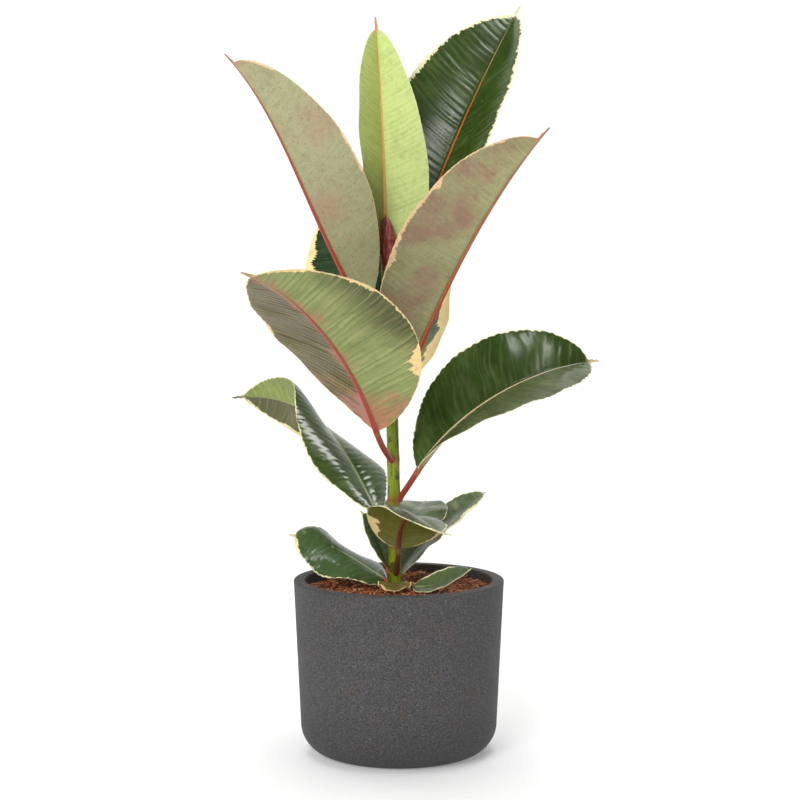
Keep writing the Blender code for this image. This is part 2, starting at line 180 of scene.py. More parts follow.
class Graph:
    """A node tree under construction."""

    def __init__(self, tree: bpy.types.NodeTree) -> None:
        """Start on a tree, whose interface may still be empty.

        Args:
            tree: The tree.
        """
        self.tree = tree
        self.entry: bpy.types.Node | None = None
        self.exit: bpy.types.Node | None = None

    @classmethod
    def named(cls, name: str, tree_type: str = "ShaderNodeTree") -> "Graph":
        """Make a new node group and return its graph."""
        return cls(bpy.data.node_groups.new(name, tree_type))

    def input(self, name: str, kind: Kind = Kind.NUMBER, default: object = None) -> Field:
        """Add a named input to the tree.

        Args:
            name: The input's name.
            kind: What it carries.
            default: Its value where nothing is set.

        Returns:
            The input as a field.
        """
        item = self.tree.interface.new_socket(name, in_out="INPUT", socket_type=kind.value)
        if default is not None:
            item.default_value = default
        if self.entry is None:
            self.entry = self.tree.nodes.new("NodeGroupInput")
        return Field(self, self.entry.outputs[name])

    def inputs(self, defaults: dict[str, object], kind: Kind = Kind.NUMBER) -> list[Field]:
        """Add an input of one kind for each name, with its default."""
        return [self.input(name, kind, value) for name, value in defaults.items()]

    def inputs_like(self, sample: object) -> SimpleNamespace:
        """Add an input for each number and colour of a dataclass.

        Args:
            sample: The object whose values are the inputs' defaults.

        Returns:
            The inputs as fields, under the object's own names.
        """
        made = {}
        for name, value in vars(sample).items():
            kind = Kind.COLOR if isinstance(value, tuple) else Kind.NUMBER
            made[name] = self.input(socket_name(name), kind, value)
        return SimpleNamespace(**made)

    def output(self, name: str, value: Field, kind: Kind = Kind.NUMBER) -> None:
        """Add a named output to the tree and feed it.

        Args:
            name: The output's name.
            value: What it gives.
            kind: What it carries.
        """
        self.tree.interface.new_socket(name, in_out="OUTPUT", socket_type=kind.value)
        if self.exit is None:
            self.exit = self.tree.nodes.new("NodeGroupOutput")
        self.feed(self.exit.inputs[name], value)

    def feed(self, socket: bpy.types.NodeSocket, value: object) -> None:
        """Link a field to a socket, or set the socket's own value.

        Args:
            socket: The socket.
            value: The field, or a plain value.
        """
        if isinstance(value, Field):
            self.tree.links.new(value.socket, socket)
        else:
            socket.default_value = value

    def node(self, kind: str, feeds: dict, **settings: object) -> bpy.types.Node:
        """Add a node.

        Args:
            kind: Blender's name for the node type.
            feeds: Values or fields by the input's name or place.
            settings: The node's own settings.

        Returns:
            The node.
        """
        made = self.tree.nodes.new(kind)
        for name, value in settings.items():
            setattr(made, name, value)
        for key, value in feeds.items():
            sockets = [s for s in made.inputs if s.enabled and s.name == key]
            self.feed(made.inputs[key] if isinstance(key, int) else sockets[0], value)
        return made

    def add(self, kind: str, feeds: dict, out: object = None, **settings: object) -> Field:
        """Add a node and give one of its outputs.

        Args:
            kind: Blender's name for the node type.
            feeds: Values or fields by the input's name or place.
            out: The output's name or place, or None for the first enabled one.
            settings: The node's own settings.

        Returns:
            The output as a field.
        """
        made = self.node(kind, feeds, **settings)
        if out is None:
            return Field(self, next(s for s in made.outputs if s.enabled))
        return Field(self, made.outputs[out])

    def call(self, group: bpy.types.NodeTree, feeds: dict) -> dict[str, Field]:
        """Place a shader group and return its outputs by name."""
        made = self.node("ShaderNodeGroup", feeds, node_tree=group)
        return {s.name: Field(self, s) for s in made.outputs}

    def surface(self, feeds: dict) -> None:
        """Feed the material's Principled BSDF with fields and constants by the input's name."""
        for name, value in feeds.items():
            self.feed(self.tree.nodes["Principled BSDF"].inputs[name], value)

    def bump(self, height: Field, strength: float, distance: float) -> Field:
        """Return the normal of a surface with a fine relief, whose distance is in metres."""
        feeds = {"Strength": strength, "Distance": distance, "Height": height}
        return self.add("ShaderNodeBump", feeds)

    def vector(self, x: object, y: object, z: object) -> Field:
        """Return a vector of three values."""
        return self.add("ShaderNodeCombineXYZ", {0: x, 1: y, 2: z})

    def noise(self, at: Field, scale: object, detail: float = 2.0, roughness: float = 0.5) -> Field:
        """Return noise around 0.5 at a place.

        Args:
            at: Where the noise is read.
            scale: Its cells per unit.
            detail: How many finer layers it has.
            roughness: How strong they are.

        Returns:
            The noise.
        """
        feeds = {"Vector": at, "Scale": scale, "Detail": detail, "Roughness": roughness}
        return self.add("ShaderNodeTexNoise", feeds, out=0)

    def cells(self, at: Field, scale: object) -> Field:
        """Return the distance to the nearest of scattered points."""
        return self.add("ShaderNodeTexVoronoi", {"Vector": at, "Scale": scale}, out="Distance")

    def blend(self, share: object, first: object, second: object, mode: str = "MIX") -> Field:
        """Mix two colours.

        Args:
            share: How much of the second colour shows.
            first, second: The colours.
            mode: How the second is laid over the first.

        Returns:
            The mixed colour.
        """
        feeds = dict(zip(MIX_INPUTS, (share, first, second)))
        settings = {"data_type": "RGBA", "blend_type": mode, "clamp_factor": True}
        return self.add("ShaderNodeMix", feeds, out=MIX_OUTPUT, **settings)

    def layers(self, base: object, *laid: tuple[object, object]) -> Field:
        """Lay colours over one another.

        Args:
            base: The colour underneath.
            laid: How much of each further colour shows and the colour, from the lowest up.

        Returns:
            The mixed colour.
        """
        for share, color in laid:
            base = self.blend(share, base, color)
        return base

    def attribute(self, name: str) -> Field:
        """Return a number stored on a mesh, in a shader."""
        return self.add("ShaderNodeAttribute", {}, out="Fac", attribute_name=name)

    def stored(self, name: str, vector: bool = False) -> Field:
        """Return an attribute of the geometry at hand, in Geometry Nodes."""
        data_type = "FLOAT_VECTOR" if vector else "FLOAT"
        return self.add("GeometryNodeInputNamedAttribute", {"Name": name}, data_type=data_type)

    def store(self, shape: Field, name: str, value: Field) -> Field:
        """Write a number on each point of a geometry."""
        feeds = {"Geometry": shape, "Name": name, "Value": value}
        return self.add("GeometryNodeStoreNamedAttribute", feeds, data_type="FLOAT", domain="POINT")

    def sample(self, spine: Field, value: Field, index: Field, vector: bool = False) -> Field:
        """Read a value at one point of a spine.

        Args:
            spine: The geometry.
            value: What is read.
            index: Which point it is read at.
            vector: Whether it is a vector.

        Returns:
            The value.
        """
        data_type = "FLOAT_VECTOR" if vector else "FLOAT"
        feeds = {"Geometry": spine, "Value": value, "Index": index}
        return self.add("GeometryNodeSampleIndex", feeds, data_type=data_type, domain="POINT")

    def here(self) -> Field:
        """Return the place of the point at hand, in Geometry Nodes."""
        return self.add("GeometryNodeInputPosition", {})

    def moved(self, shape: Field, to: Field) -> Field:
        """Put each point of a geometry at a new place."""
        return self.add("GeometryNodeSetPosition", {"Geometry": shape, "Position": to})

    def circle(self, radius: object, points: int) -> Field:
        """Return a round curve."""
        feeds = {"Radius": radius, "Resolution": points}
        return self.add("GeometryNodeCurvePrimitiveCircle", feeds, mode="RADIUS")

    def copies(self, points: Field, piece: Field, scale: Field, rotation: Field) -> Field:
        """Place a copy of a geometry on each point."""
        feeds = {"Points": points, "Instance": piece, "Rotation": rotation, "Scale": scale}
        return self.add("GeometryNodeInstanceOnPoints", feeds, out=0)

    def joined(self, *parts: Field) -> Field:
        """Join geometries.

        Args:
            parts: The geometries, in order.

        Returns:
            One geometry.
        """
        made = self.node("GeometryNodeJoinGeometry", {})
        for part in parts:
            self.feed(made.inputs[0], part)
        return Field(self, made.outputs[0])


def socket_name(name: str) -> str:
    """Return a dataclass field's name as a socket's name."""
    return name.replace("_", " ").title()


def new_material(name: str) -> tuple[bpy.types.Material, Graph, Field]:
    """Make a material with a Principled BSDF.

    Args:
        name: The material's name.

    Returns:
        The material, its graph and the place on the object that it is read at.
    """
    material = bpy.data.materials.new(name)
    material.use_nodes = True
    g = Graph(material.node_tree)
    return material, g, g.add("ShaderNodeTexCoord", {}, out="Object")


# Growing plain meshes with Geometry Nodes.


def spine_mesh(name: str, points: np.ndarray, **layers: np.ndarray) -> bpy.types.Mesh:
    """Make a mesh of loose points with numbers and vectors stored on them.

    Args:
        name: The mesh's name.
        points: One row of coordinates a point.
        layers: Values by the attribute's name, one a point.

    Returns:
        The mesh.
    """
    mesh = bpy.data.meshes.new(name)
    mesh.from_pydata(points.tolist(), [], [])
    for key, values in layers.items():
        values = np.asarray(values, np.float32)
        vector = values.ndim == 2
        layer = mesh.attributes.new(key, "FLOAT_VECTOR" if vector else "FLOAT", "POINT")
        layer.data.foreach_set("vector" if vector else "value", values.ravel())
    return mesh


def grown(name: str, source: bpy.types.Mesh, tree: bpy.types.NodeTree, values: dict) -> bpy.types.Object:
    """Run a Geometry Nodes tree on a mesh and keep the result as a plain object.

    Args:
        name: The object's name.
        source: The mesh that the tree starts from.
        tree: The tree.
        values: The tree's inputs by name.

    Returns:
        The object, with no modifier left on it.
    """
    host = linked(name, source)
    modifier = host.modifiers.new("grow", "NODES")
    modifier.node_group = tree
    for item in tree.interface.items_tree:
        if item.item_type == "SOCKET" and item.in_out == "INPUT" and item.name in values:
            modifier[item.identifier] = values[item.name]
    return hardened(host)


def linked(name: str, data: bpy.types.ID) -> bpy.types.Object:
    """Make an object that stands in the scene.

    Args:
        name: The object's name.
        data: Its mesh, light or camera.

    Returns:
        The object.
    """
    obj = bpy.data.objects.new(name, data)
    bpy.context.scene.collection.objects.link(obj)
    return obj


def hardened(host: bpy.types.Object) -> bpy.types.Object:
    """Replace an object's modifier with the plain, smooth mesh that it makes.

    Args:
        host: The object.

    Returns:
        The same object.
    """
    graph = bpy.context.evaluated_depsgraph_get()
    mesh = bpy.data.meshes.new_from_object(host.evaluated_get(graph))
    host.modifiers.clear()
    host.data = mesh
    mesh.name = host.name
    face_outward(mesh)
    mesh.shade_smooth()
    return host


def face_outward(mesh: bpy.types.Mesh) -> None:
    """Turn a closed mesh right side out, if its faces point inward.

    Args:
        mesh: The mesh.
    """
    mesh.calc_loop_triangles()
    corners = np.empty(len(mesh.vertices) * 3, np.float32)
    mesh.vertices.foreach_get("co", corners)
    corners = corners.reshape(-1, 3).astype(float)
    triangles = np.empty(len(mesh.loop_triangles) * 3, np.int32)
    mesh.loop_triangles.foreach_get("vertices", triangles)
    a, b, c = (corners[triangles[i::3]] for i in range(3))
    if np.einsum("ij,ij->i", a, np.cross(b, c)).sum() < 0:
        mesh.flip_normals()


def put(obj: bpy.types.Object, node: str) -> bpy.types.Object:
    """Let a finished piece stand for its solid.

    Args:
        obj: The piece.
        node: The solid that it replaces.

    Returns:
        The piece.
    """
    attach(obj, "root")
    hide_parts(node)
    obj.data.calc_loop_triangles()
    log.info("%s stands for %s: %d triangles", obj.name, node, len(obj.data.loop_triangles))
    return obj


def lofted_ring(
    graph: Graph, spine: Field, rows: Field, sides: Field, skip: object
) -> tuple[Field, Field, Field, dict[str, Field]]:
    """Lay a grid along a spine, whose columns go once round the section.

    Args:
        graph: The tree.
        spine: The geometry whose points carry the section's place and directions.
        rows: How many points of the spine are used.
        sides: How many columns the grid has.
        skip: How many points of the spine are left out at its start.

    Returns:
        The flat grid, the turn from 0 to 1 round the section, the point's index on the spine, and the
        section's middle, side and up vectors by name.
    """
    feeds = {"Size X": 1.0, "Size Y": 1.0, "Vertices X": sides, "Vertices Y": rows}
    grid = graph.add("GeometryNodeMeshGrid", feeds)
    place = graph.here()
    turn = place.part(0) + 0.5
    index = ((place.part(1) + 0.5) * (rows - 1.0)).math("ROUND") + skip
    section = {"middle": graph.sample(spine, place, index, vector=True)}
    for name in ("side", "up"):
        section[name] = graph.sample(spine, graph.stored(name, vector=True), index, vector=True)
    return grid, turn, index, section


def tube_part(
    graph: Graph, spine: Field, rows: Field, sides: Field, skip: object, swell: Field | None = None,
    carried: tuple[str, ...] = ("along",),
) -> Field:
    """Loft a round bar along a spine that stores its radius.

    Args:
        graph: The tree.
        spine: The geometry whose points carry the radius and how far the middle sinks.
        rows: How many points of the spine are used.
        sides: How many columns the grid has.
        skip: How many points of the spine are left out at its start.
        swell: A factor on the radius, if it is uneven.
        carried: The spine's numbers that the bar takes over for its finish.

    Returns:
        The bar, which stores where it is the lower side and what it carries.
    """
    grid, turn, index, at = lofted_ring(graph, spine, rows, sides, skip)
    angle = math.pi - turn * CIRCLE
    radius = graph.sample(spine, graph.stored("stalk"), index)
    sink = graph.sample(spine, graph.stored("sink"), index)
    if swell is not None:
        radius = radius * swell
    grid = graph.store(grid, "under", turn.math("GREATER_THAN", 0.5))
    grid = graph.store(grid, "rib", angle * 0.0 + 1.0)
    for name in carried:
        grid = graph.store(grid, name, graph.sample(spine, graph.stored(name), index))
    point = at["middle"].plus(at["side"].scaled(angle.math("COSINE") * radius))
    return graph.moved(grid, point.plus(at["up"].scaled(angle.math("SINE") * radius - sink)))


def finished_shape(graph: Graph, shape: Field, finish: Field, weld: float = 0.000004) -> None:
    """Realize a shape, weld its seams, give it its material and end the tree.

    Args:
        graph: The tree.
        shape: The geometry.
        finish: The material.
        weld: Points closer than this become one; 0 leaves every point.
    """
    shape = graph.add("GeometryNodeRealizeInstances", {"Geometry": shape})
    if weld:
        shape = graph.add("GeometryNodeMergeByDistance", {"Geometry": shape, "Distance": weld})
    shape = graph.add("GeometryNodeSetMaterial", {"Geometry": shape, "Material": finish})
    graph.output("Geometry", shape, Kind.SHAPE)


def vein_strength(graph: Graph, lane: Field, hand: Field, seed: Field) -> Field:
    """Return the noise that makes a side vein stronger or weaker, in a leaf's form and its pattern alike.

    Args:
        graph: The tree.
        lane: The count of side veins at the point.
        hand: -1 on the blade's left half and 1 on its right half.
        seed: The leaf's number.

    Returns:
        Noise that is even along a vein.
    """
    return graph.noise(graph.vector(lane.math("ROUND") * 7.31, hand * 2.9, seed + 5.0), 1.0, 0.0)


def leaf_tree() -> bpy.types.NodeTree:
    """Build the tree that lofts a leaf: a thin blade with quilted veins and a round midrib on its stalk.

    Returns:
        The Geometry Nodes tree.
    """
    g = Graph.named("leaf_form", "GeometryNodeTree")
    spine = g.input("Spine", Kind.SHAPE)
    counts = {"Stalk Rows": 20, "Blade Rows": 300, "Blade Columns": 97, "Rib Sides": 17}
    stalk_rows, rows, columns, rib_sides = g.inputs(counts, Kind.WHOLE)
    form = {"Width": 0.1, "Fold": 0.3, "Curl": 0.01, "Bulge": 0.001}
    width, fold, curl, bulge = g.inputs(form)
    wave, waves, wave_start = g.inputs({"Wave": 0.0008, "Waves": 4.0, "Wave Start": 1.3})
    sheet = {"Thickness": 0.0007, "Vein Spacing": 0.004, "Vein Slope": 0.2, "Vein Relief": 0.00006}
    thickness, spacing, slope, relief = g.inputs(sheet)
    rim = {"Margin Crinkle": 0.0005, "Margin Notch": 0.0004, "Tip Trim": 0.0, "Seed": 0.0}
    crinkle, notch, trim, seed = g.inputs(rim)
    finish = g.input("Finish", Kind.FINISH)

    grid, turn, index, at = lofted_ring(g, spine, rows, columns, stalk_rows)
    spread = 1.0 - abs(turn * 4.0 - 2.0)
    reach = (abs(spread) * (math.pi / 2)).math("SINE")
    hand = spread.math("SIGN")
    under = turn.math("GREATER_THAN", 0.5)
    share, along, pinch, half = (
        g.sample(spine, g.stored(name), index) for name in ("share", "along", "pinch", "half")
    )

    # The outline, with its notches, and the lanes that the side veins run in.
    half = half * (1.0 - (hand * trim).math("MAXIMUM", 0.0) * share.ramp(0.68, 0.9))
    lateral = half * reach
    drift = g.noise(g.vector(along * 60.0, lateral * 30.0, seed + 9.0), 1.0, 1.0) - 0.5
    sweep = lateral * slope + lateral * reach * 0.16
    lane = (along - sweep) / spacing + hand * 0.25 + drift * 0.9
    jag = g.noise(g.vector(along * 190.0, hand * 3.7, seed), 1.0, 3.0) - 0.5
    scallop = abs((along * 640.0 + drift * 6.0 + hand).math("SINE")) - 0.64
    half = half + (jag * 1.6 + scallop * 0.8) * notch * pinch
    strength = vein_strength(g, lane, hand, seed).ramp(0.3, 0.72, 0.25, 1.7)
    ridge = ((lane * CIRCLE).math("COSINE") * 0.5 + 0.5) ** 3.0 * strength
    minor = (lane * (3 * CIRCLE)).math("COSINE") * 0.07
    fade = (1.0 - reach**6.0) * pinch * (lateral * 700.0).ramp(0.6, 2.4)
    edge = half * (1.0 - reach) * MM
    stored = {"lane": lane, "edge": edge, "across": lateral * hand * MM, "along": along, "under": under}
    for name, value in {**stored, "rib": under * 0.0}.items():
        grid = g.store(grid, name, value)

    # The section: each half bends up as an arc and carries the ripple, the quilt and the sheet's thickness.
    bent = fold + curl * reach
    out = (bent.math("SINE") - fold.math("SINE")) / curl
    lift = (fold.math("COSINE") - bent.math("COSINE")) / curl
    tilted = at["side"].scaled(hand * bent.math("SINE") * -1.0)
    normal = at["up"].scaled(bent.math("COSINE")).plus(tilted)
    breadth = half / (width * 0.5)
    phase = share * waves * CIRCLE + hand * wave_start
    ripple = phase.math("SINE") * wave * breadth * reach * reach
    crumple = g.noise(g.vector(along * 75.0, hand * 5.0, seed + 3.0), 1.0, 2.0) - 0.5
    ripple = ripple + crumple * crinkle * 2.0 * reach**5.0
    area = g.noise(g.vector(along * 28.0, lateral * hand * 24.0, seed + 6.0), 1.0, 1.0)
    quilt = (ridge + minor - 0.3) * relief * fade * area.ramp(0.36, 0.64, 0.3, 1.25)
    skin = (1.0 - reach**16.0).math("MAXIMUM", 0.0).math("SQRT") * thickness * 0.5 * pinch
    belly = (reach * math.pi).math("SINE") * bulge * breadth
    face = skin * (1.0 - under * 2.0) + ripple - quilt + belly
    wide = half * pinch
    point = at["middle"].plus(at["side"].scaled(hand * out * wide)).plus(at["up"].scaled(lift * wide))
    blade = g.moved(grid, point.plus(normal.scaled(face)))
    stalk = tube_part(g, spine, rows + stalk_rows, rib_sides, 0)
    finished_shape(g, g.joined(stalk, blade), finish)
    return g.tree


def bar_tree() -> bpy.types.NodeTree:
    """Build the tree of the stem and the bud sheath: an uneven bar with a raised ring at each marked point.

    Returns:
        The Geometry Nodes tree.
    """
    g = Graph.named("bar_form", "GeometryNodeTree")
    spine = g.input("Spine", Kind.SHAPE)
    rows, sides = g.inputs({"Rows": 300, "Sides": 41}, Kind.WHOLE)
    sizes = {"Unevenness": 0.03, "Ribs": 0.0, "Ring Thickness": 0.09, "Seed": 0.0}
    rough, ribs, ring_size, seed = g.inputs(sizes)
    finish = g.input("Finish", Kind.FINISH)
    place = g.here()
    turn = (place.part(0) + 0.5) * CIRCLE
    height = place.part(1) * rows * 0.06 + seed
    around = g.vector(turn.math("COSINE") * 0.8, turn.math("SINE") * 0.8, height)
    swell = 1.0 + (g.noise(around, 1.6, 4.0) - 0.5) * rough + (turn * 7.0).math("SINE") * ribs
    bar = tube_part(g, spine, rows, sides, 0, swell, ("along", "near_scar"))
    circle, profile = g.circle(1.0, 32), g.circle(ring_size, 8)
    ring = g.add("GeometryNodeCurveToMesh", {"Curve": circle, "Profile Curve": profile})
    ring = g.store(ring, "near_scar", g.stored("near_scar") * 0.0 + 1.0)
    marked = g.add("GeometryNodeSeparateGeometry", {"Geometry": spine, "Selection": g.stored("scar")})
    size = g.vector(*[g.stored("scar_size")] * 3)
    rings = g.copies(marked, ring, size, g.stored("scar_turn", vector=True))
    finished_shape(g, g.joined(rings, bar), finish)
    return g.tree


def fibre_tree() -> bpy.types.NodeTree:
    """Build the tree that covers the coir's mound with bent fibres lying every way.

    Returns:
        The Geometry Nodes tree.
    """
    g = Graph.named("coir_fibres", "GeometryNodeTree")
    ground = g.input("Ground", Kind.SHAPE)
    sizes = {"Density": 200000.0, "Length": 0.009, "Radius": 0.00034, "Bend": 0.0036, "Wall Radius": 0.066}
    density, length, radius, bend, wall = g.inputs(sizes)
    seed = g.input("Seed", Kind.WHOLE, 4)
    finish = g.input("Finish", Kind.FINISH)
    facing = g.add("GeometryNodeInputNormal", {})
    top = facing.part(2).math("GREATER_THAN", 0.3)
    feeds = {"Mesh": ground, "Selection": top, "Density": density, "Seed": seed}
    points = g.add("GeometryNodeDistributePointsOnFaces", feeds, distribute_method="RANDOM")
    feeds = {"Start": (-0.5, 0.0, 0.0), "End": (0.5, 0.0, 0.0)}
    line = g.add("GeometryNodeCurvePrimitiveLine", feeds, mode="POINTS")
    line = g.add("GeometryNodeResampleCurve", {"Curve": line, "Count": 7})
    outline = g.moved(g.circle(1.0, 3), g.here().scaled(radius))
    feeds = {"Curve": line, "Profile Curve": outline, "Fill Caps": True}
    fibre = g.add("GeometryNodeCurveToMesh", feeds)

    def random(low: object, high: object, salt: int, kind: str = "FLOAT") -> Field:
        """Return a random value for each fibre."""
        feeds = {"Min": low, "Max": high, "Seed": salt}
        return g.add("FunctionNodeRandomValue", feeds, data_type=kind)

    heading = random((-0.45, -0.45, 0.0), (0.45, 0.45, CIRCLE), 11, "FLOAT_VECTOR")
    size = random(0.35, 1.0, 12) ** 1.6
    girth = random(0.5, 2.1, 13)
    fibres = g.copies(points, fibre, g.vector(size * length, girth, girth), heading)
    feeds = {"Geometry": fibres, "Name": "tone", "Value": random(0.0, 1.0, 14)}
    toned = g.add("GeometryNodeStoreNamedAttribute", feeds, data_type="FLOAT", domain="INSTANCE")
    loose = g.add("GeometryNodeRealizeInstances", {"Geometry": toned})

    # Each fibre is bent by noise of its own and kept inside the pot's wall.
    place = g.here().plus(g.vector(0.0, 0.0, g.stored("tone") * 0.6))
    push = g.add("ShaderNodeTexNoise", {"Vector": place, "Scale": 95.0, "Detail": 1.0}, out="Color")
    push = push.plus((-0.5, -0.5, -0.5)).vector_math("MULTIPLY", (1.0, 1.0, 0.35)).scaled(bend * 2.0)
    loose = g.add("GeometryNodeSetPosition", {"Geometry": loose, "Offset": push})
    spot = g.here()
    x, y = spot.part(0), spot.part(1)
    out = (x * x + y * y).math("SQRT")
    shrink = (wall / out.math("MAXIMUM", 0.001)).math("MINIMUM", 1.0)
    loose = g.moved(loose, g.vector(x * shrink, y * shrink, spot.part(2)))
    bare = g.store(ground, "tone", g.stored("tone") * 0.0 - 1.0)
    finished_shape(g, g.joined(bare, loose), finish, weld=0.0)
    return g.tree


# Finishes.


def variegation_group() -> bpy.types.NodeTree:
    """Build the group that draws a leaf's pattern: ragged pale margin, grey sectors, veins and streaks.

    Returns:
        The shader group, whose outputs are masks.
    """
    g = Graph.named("variegation")
    width, ragged, patches = g.inputs({"Margin Width": 1.0, "Raggedness": 1.0, "Margin Patches": 0.0})
    blot = {"Blot At": 100.0, "Blot Length": 12.0, "Blot Reach": 0.0, "Blot Side": 1.0}
    blot_at, blot_length, blot_reach, blot_side = g.inputs(blot)
    grey, line, seed = g.inputs({"Grey Share": 0.1, "Vein Line": 0.09, "Seed": 0.0})
    lane, edge, across, along = (g.attribute(name) for name in ("lane", "edge", "across", "along"))
    hand = across.math("SIGN")

    # The pale margin: slow waves and fine teeth, wider on some stretches and in the blot.
    slow = g.noise(g.vector(lane * 0.16, hand * 3.3, seed), 1.0, 1.0) - 0.5
    teeth = g.noise(g.vector(lane * 1.3, across * 0.06, seed + 4.0), 1.0, 3.0, 0.7) - 0.5
    fine = g.noise(g.vector(lane * 4.0, across * 0.5, seed + 8.0), 1.0, 2.0) - 0.5
    reach = width * (1.0 + slow * 2.2) + teeth * ragged * 3.2 + fine * ragged * 0.8
    reach = reach + slow.ramp(0.06, 0.16) * patches * (1.0 + teeth * 3.0)
    near_blot = abs((along * MM - blot_at) / blot_length).ramp(1.0, 0.3)
    own_side = (hand * blot_side).math("GREATER_THAN", 0.0)
    reach = reach + near_blot * own_side * blot_reach * (1.0 + teeth * 2.4)
    g.output("Margin", (reach.math("MAXIMUM", 0.3) - edge).ramp(-0.12, 0.22))

    # Grey sectors between the veins, the veins themselves and streaks along them.
    sector = g.noise(g.vector(lane * 0.28, across * 0.035, seed + 12.0), 1.0, 2.0, 0.6)
    g.output("Patch", (sector + fine * 0.10 - (0.76 - grey * 0.48)).ramp(-0.012, 0.018))
    near = abs(lane - lane.math("ROUND"))
    strength = vein_strength(g, lane, hand, seed).ramp(0.35, 0.72, 0.2, 1.0)
    g.output("Vein", (near / line).ramp(1.0, 0.2) * strength)
    g.output("Streak", g.noise(g.vector(lane * 2.4, across * 0.035, seed + 20.0), 1.0, 2.0, 0.6))
    return g.tree


CLOUD_TINT: Color = (0.32, 0.36, 0.26, 1.0)
FAR_TINT: Color = (0.30, 0.30, 0.24, 1.0)
BASE_TINT: Color = (0.26, 0.22, 0.05, 1.0)
STREAK_TINT: Color = (0.0, 0.01, 0.0, 1.0)
MOTTLE_TINT: Color = (0.02, 0.03, 0.01, 1.0)


def face_group() -> bpy.types.NodeTree:
    """Build the group that colours one face of a leaf from the variegation's masks.

    Returns:
        The shader group, whose outputs are a colour and a roughness.
    """
    g = Graph.named("leaf_face")
    margin, patch, vein, streak = g.inputs(dict.fromkeys(("Margin", "Patch", "Vein", "Streak"), 0.0))
    look = g.inputs_like(GLOSSY)
    seed = g.input("Seed", default=0.0)
    across, along = g.attribute("across"), g.attribute("along")
    place = g.add("ShaderNodeTexCoord", {}, out="Object")
    shifted = place.plus(g.vector(seed, 0.0, 0.0))

    # The ground colour; one half in another colour, used as painted shade on a half turned from the lamps and
    # as painted light on a sunlit half; and slow clouds.
    own_side = (across * look.half_side).ramp(-0.4, 0.4)
    color = g.blend(own_side * look.half_amount, g.blend(patch, look.deep, look.grey), look.half)
    slow = g.noise(shifted, 38.0, 3.0, 0.6)
    color = g.blend(slow.ramp(0.5, 0.72) * look.cloudy, color, CLOUD_TINT, "MULTIPLY")
    paler = g.blend(0.5, color, look.vein_tint)
    color = g.blend(slow.ramp(0.5, 0.3) * look.cloudy * 0.5, color, paler)

    # Shade where the real leaf turns away: the other half's far end, and its own half's foot.
    outward = (across * look.half_side * -1.8).math("MAXIMUM", 0.0)
    far = (outward + (along * MM).math("MINIMUM", 110.0) * 0.8).ramp(110.0, 165.0)
    color = g.blend(far * look.far_shade, color, FAR_TINT, "MULTIPLY")
    low = own_side * (along * MM).ramp(78.0, 22.0) * look.base_shade
    color = g.blend(low, color, BASE_TINT, "MULTIPLY")

    # Streaks and veins, the flush by the rib and the base, the margin, specks and a fine mottle.
    tone = (streak - 0.5) * look.streaks * 2.4
    color = g.blend(tone.math("MAXIMUM", 0.0), color, g.blend(0.5, color, look.pale))
    cloud = (g.noise(place, 30.0, 4.0, 0.65) - 0.5) + (streak - 0.5) * 0.4
    close = abs(across).ramp(14.0, 0.0) * look.near_rib + (along * MM).ramp(75.0, 0.0) * look.near_base
    flush = (cloud + close + look.flush_reach).ramp(-0.04, 0.26) * look.flushed
    rim = g.blend(g.noise(place, 60.0, 2.0).ramp(0.45, 0.75) * 0.35, look.pale, look.vein_tint)
    dots = g.noise(shifted, 900.0, 2.0, 0.6)
    lines = g.noise(g.vector(g.attribute("lane") * 4.0, across * 0.25, seed + 2.0), 1.0, 2.0)
    speckled = (dots + lines * 0.5 - 0.86).ramp(0.0, 0.12) * look.specks
    mottle = g.noise(place, 140.0, 3.0, 0.6)
    color = g.layers(
        color,
        ((tone * -1.0).math("MAXIMUM", 0.0), STREAK_TINT),
        (vein * look.veins, look.vein_tint),
        (flush, look.flush),
        (margin, rim),
        (speckled, look.speck),
        (abs(mottle - 0.5) * 0.8, MOTTLE_TINT),
    )
    g.output("Color", color, Kind.COLOR)
    g.output("Roughness", look.rough + (mottle - 0.5) * 0.16 + vein * 0.05)
    return g.tree


def speckle_group() -> bpy.types.NodeTree:
    """Build the group of a fine mineral speckle: light and dark grains, a coarser mottle and slow clouds.

    Returns:
        The shader group, whose outputs are four masks and a height.
    """
    g = Graph.named("speckle")
    size = g.input("Grain Size", default=0.0006)
    place = g.add("ShaderNodeTexCoord", {}, out="Object")
    fine = 1.0 / size
    grains = g.noise(place, fine, 3.0, 0.7)
    clouds = g.noise(place, fine * 0.06, 4.0, 0.6)
    pits = g.cells(place, fine * 0.42)
    g.output("Light", (grains - 0.5).ramp(0.05, 0.22))
    g.output("Dark", (0.5 - grains).ramp(0.05, 0.24))
    g.output("Clouds", clouds)
    g.output("Mottle", g.noise(place, fine * 0.8, 4.0, 0.7))
    g.output("Height", grains * 0.6 + pits.ramp(0.0, 0.35) * 0.5 + clouds * 0.5)
    return g.tree


@dataclass(frozen=True)
class Face:
    """The colours and gloss of one face of a leaf, each an input of the face group."""

    deep: Color
    grey: Color
    pale: Color
    vein_tint: Color
    flush: Color = shade(190, 120, 110)
    speck: Color = shade(120, 70, 60)
    half: Color = shade(90, 90, 60)
    veins: float = 0.25
    flushed: float = 0.0
    flush_reach: float = 0.0
    near_rib: float = 0.2
    near_base: float = 0.2
    specks: float = 0.0
    streaks: float = 0.25
    cloudy: float = 0.2
    far_shade: float = 0.0
    base_shade: float = 0.0
    half_amount: float = 0.0
    half_side: float = 1.0
    rough: float = 0.28

    def feeds(self, seed: float) -> dict[str, object]:
        """Return the face's values by the face group's input names."""
        return {"Seed": seed, **{socket_name(name): value for name, value in vars(self).items()}}


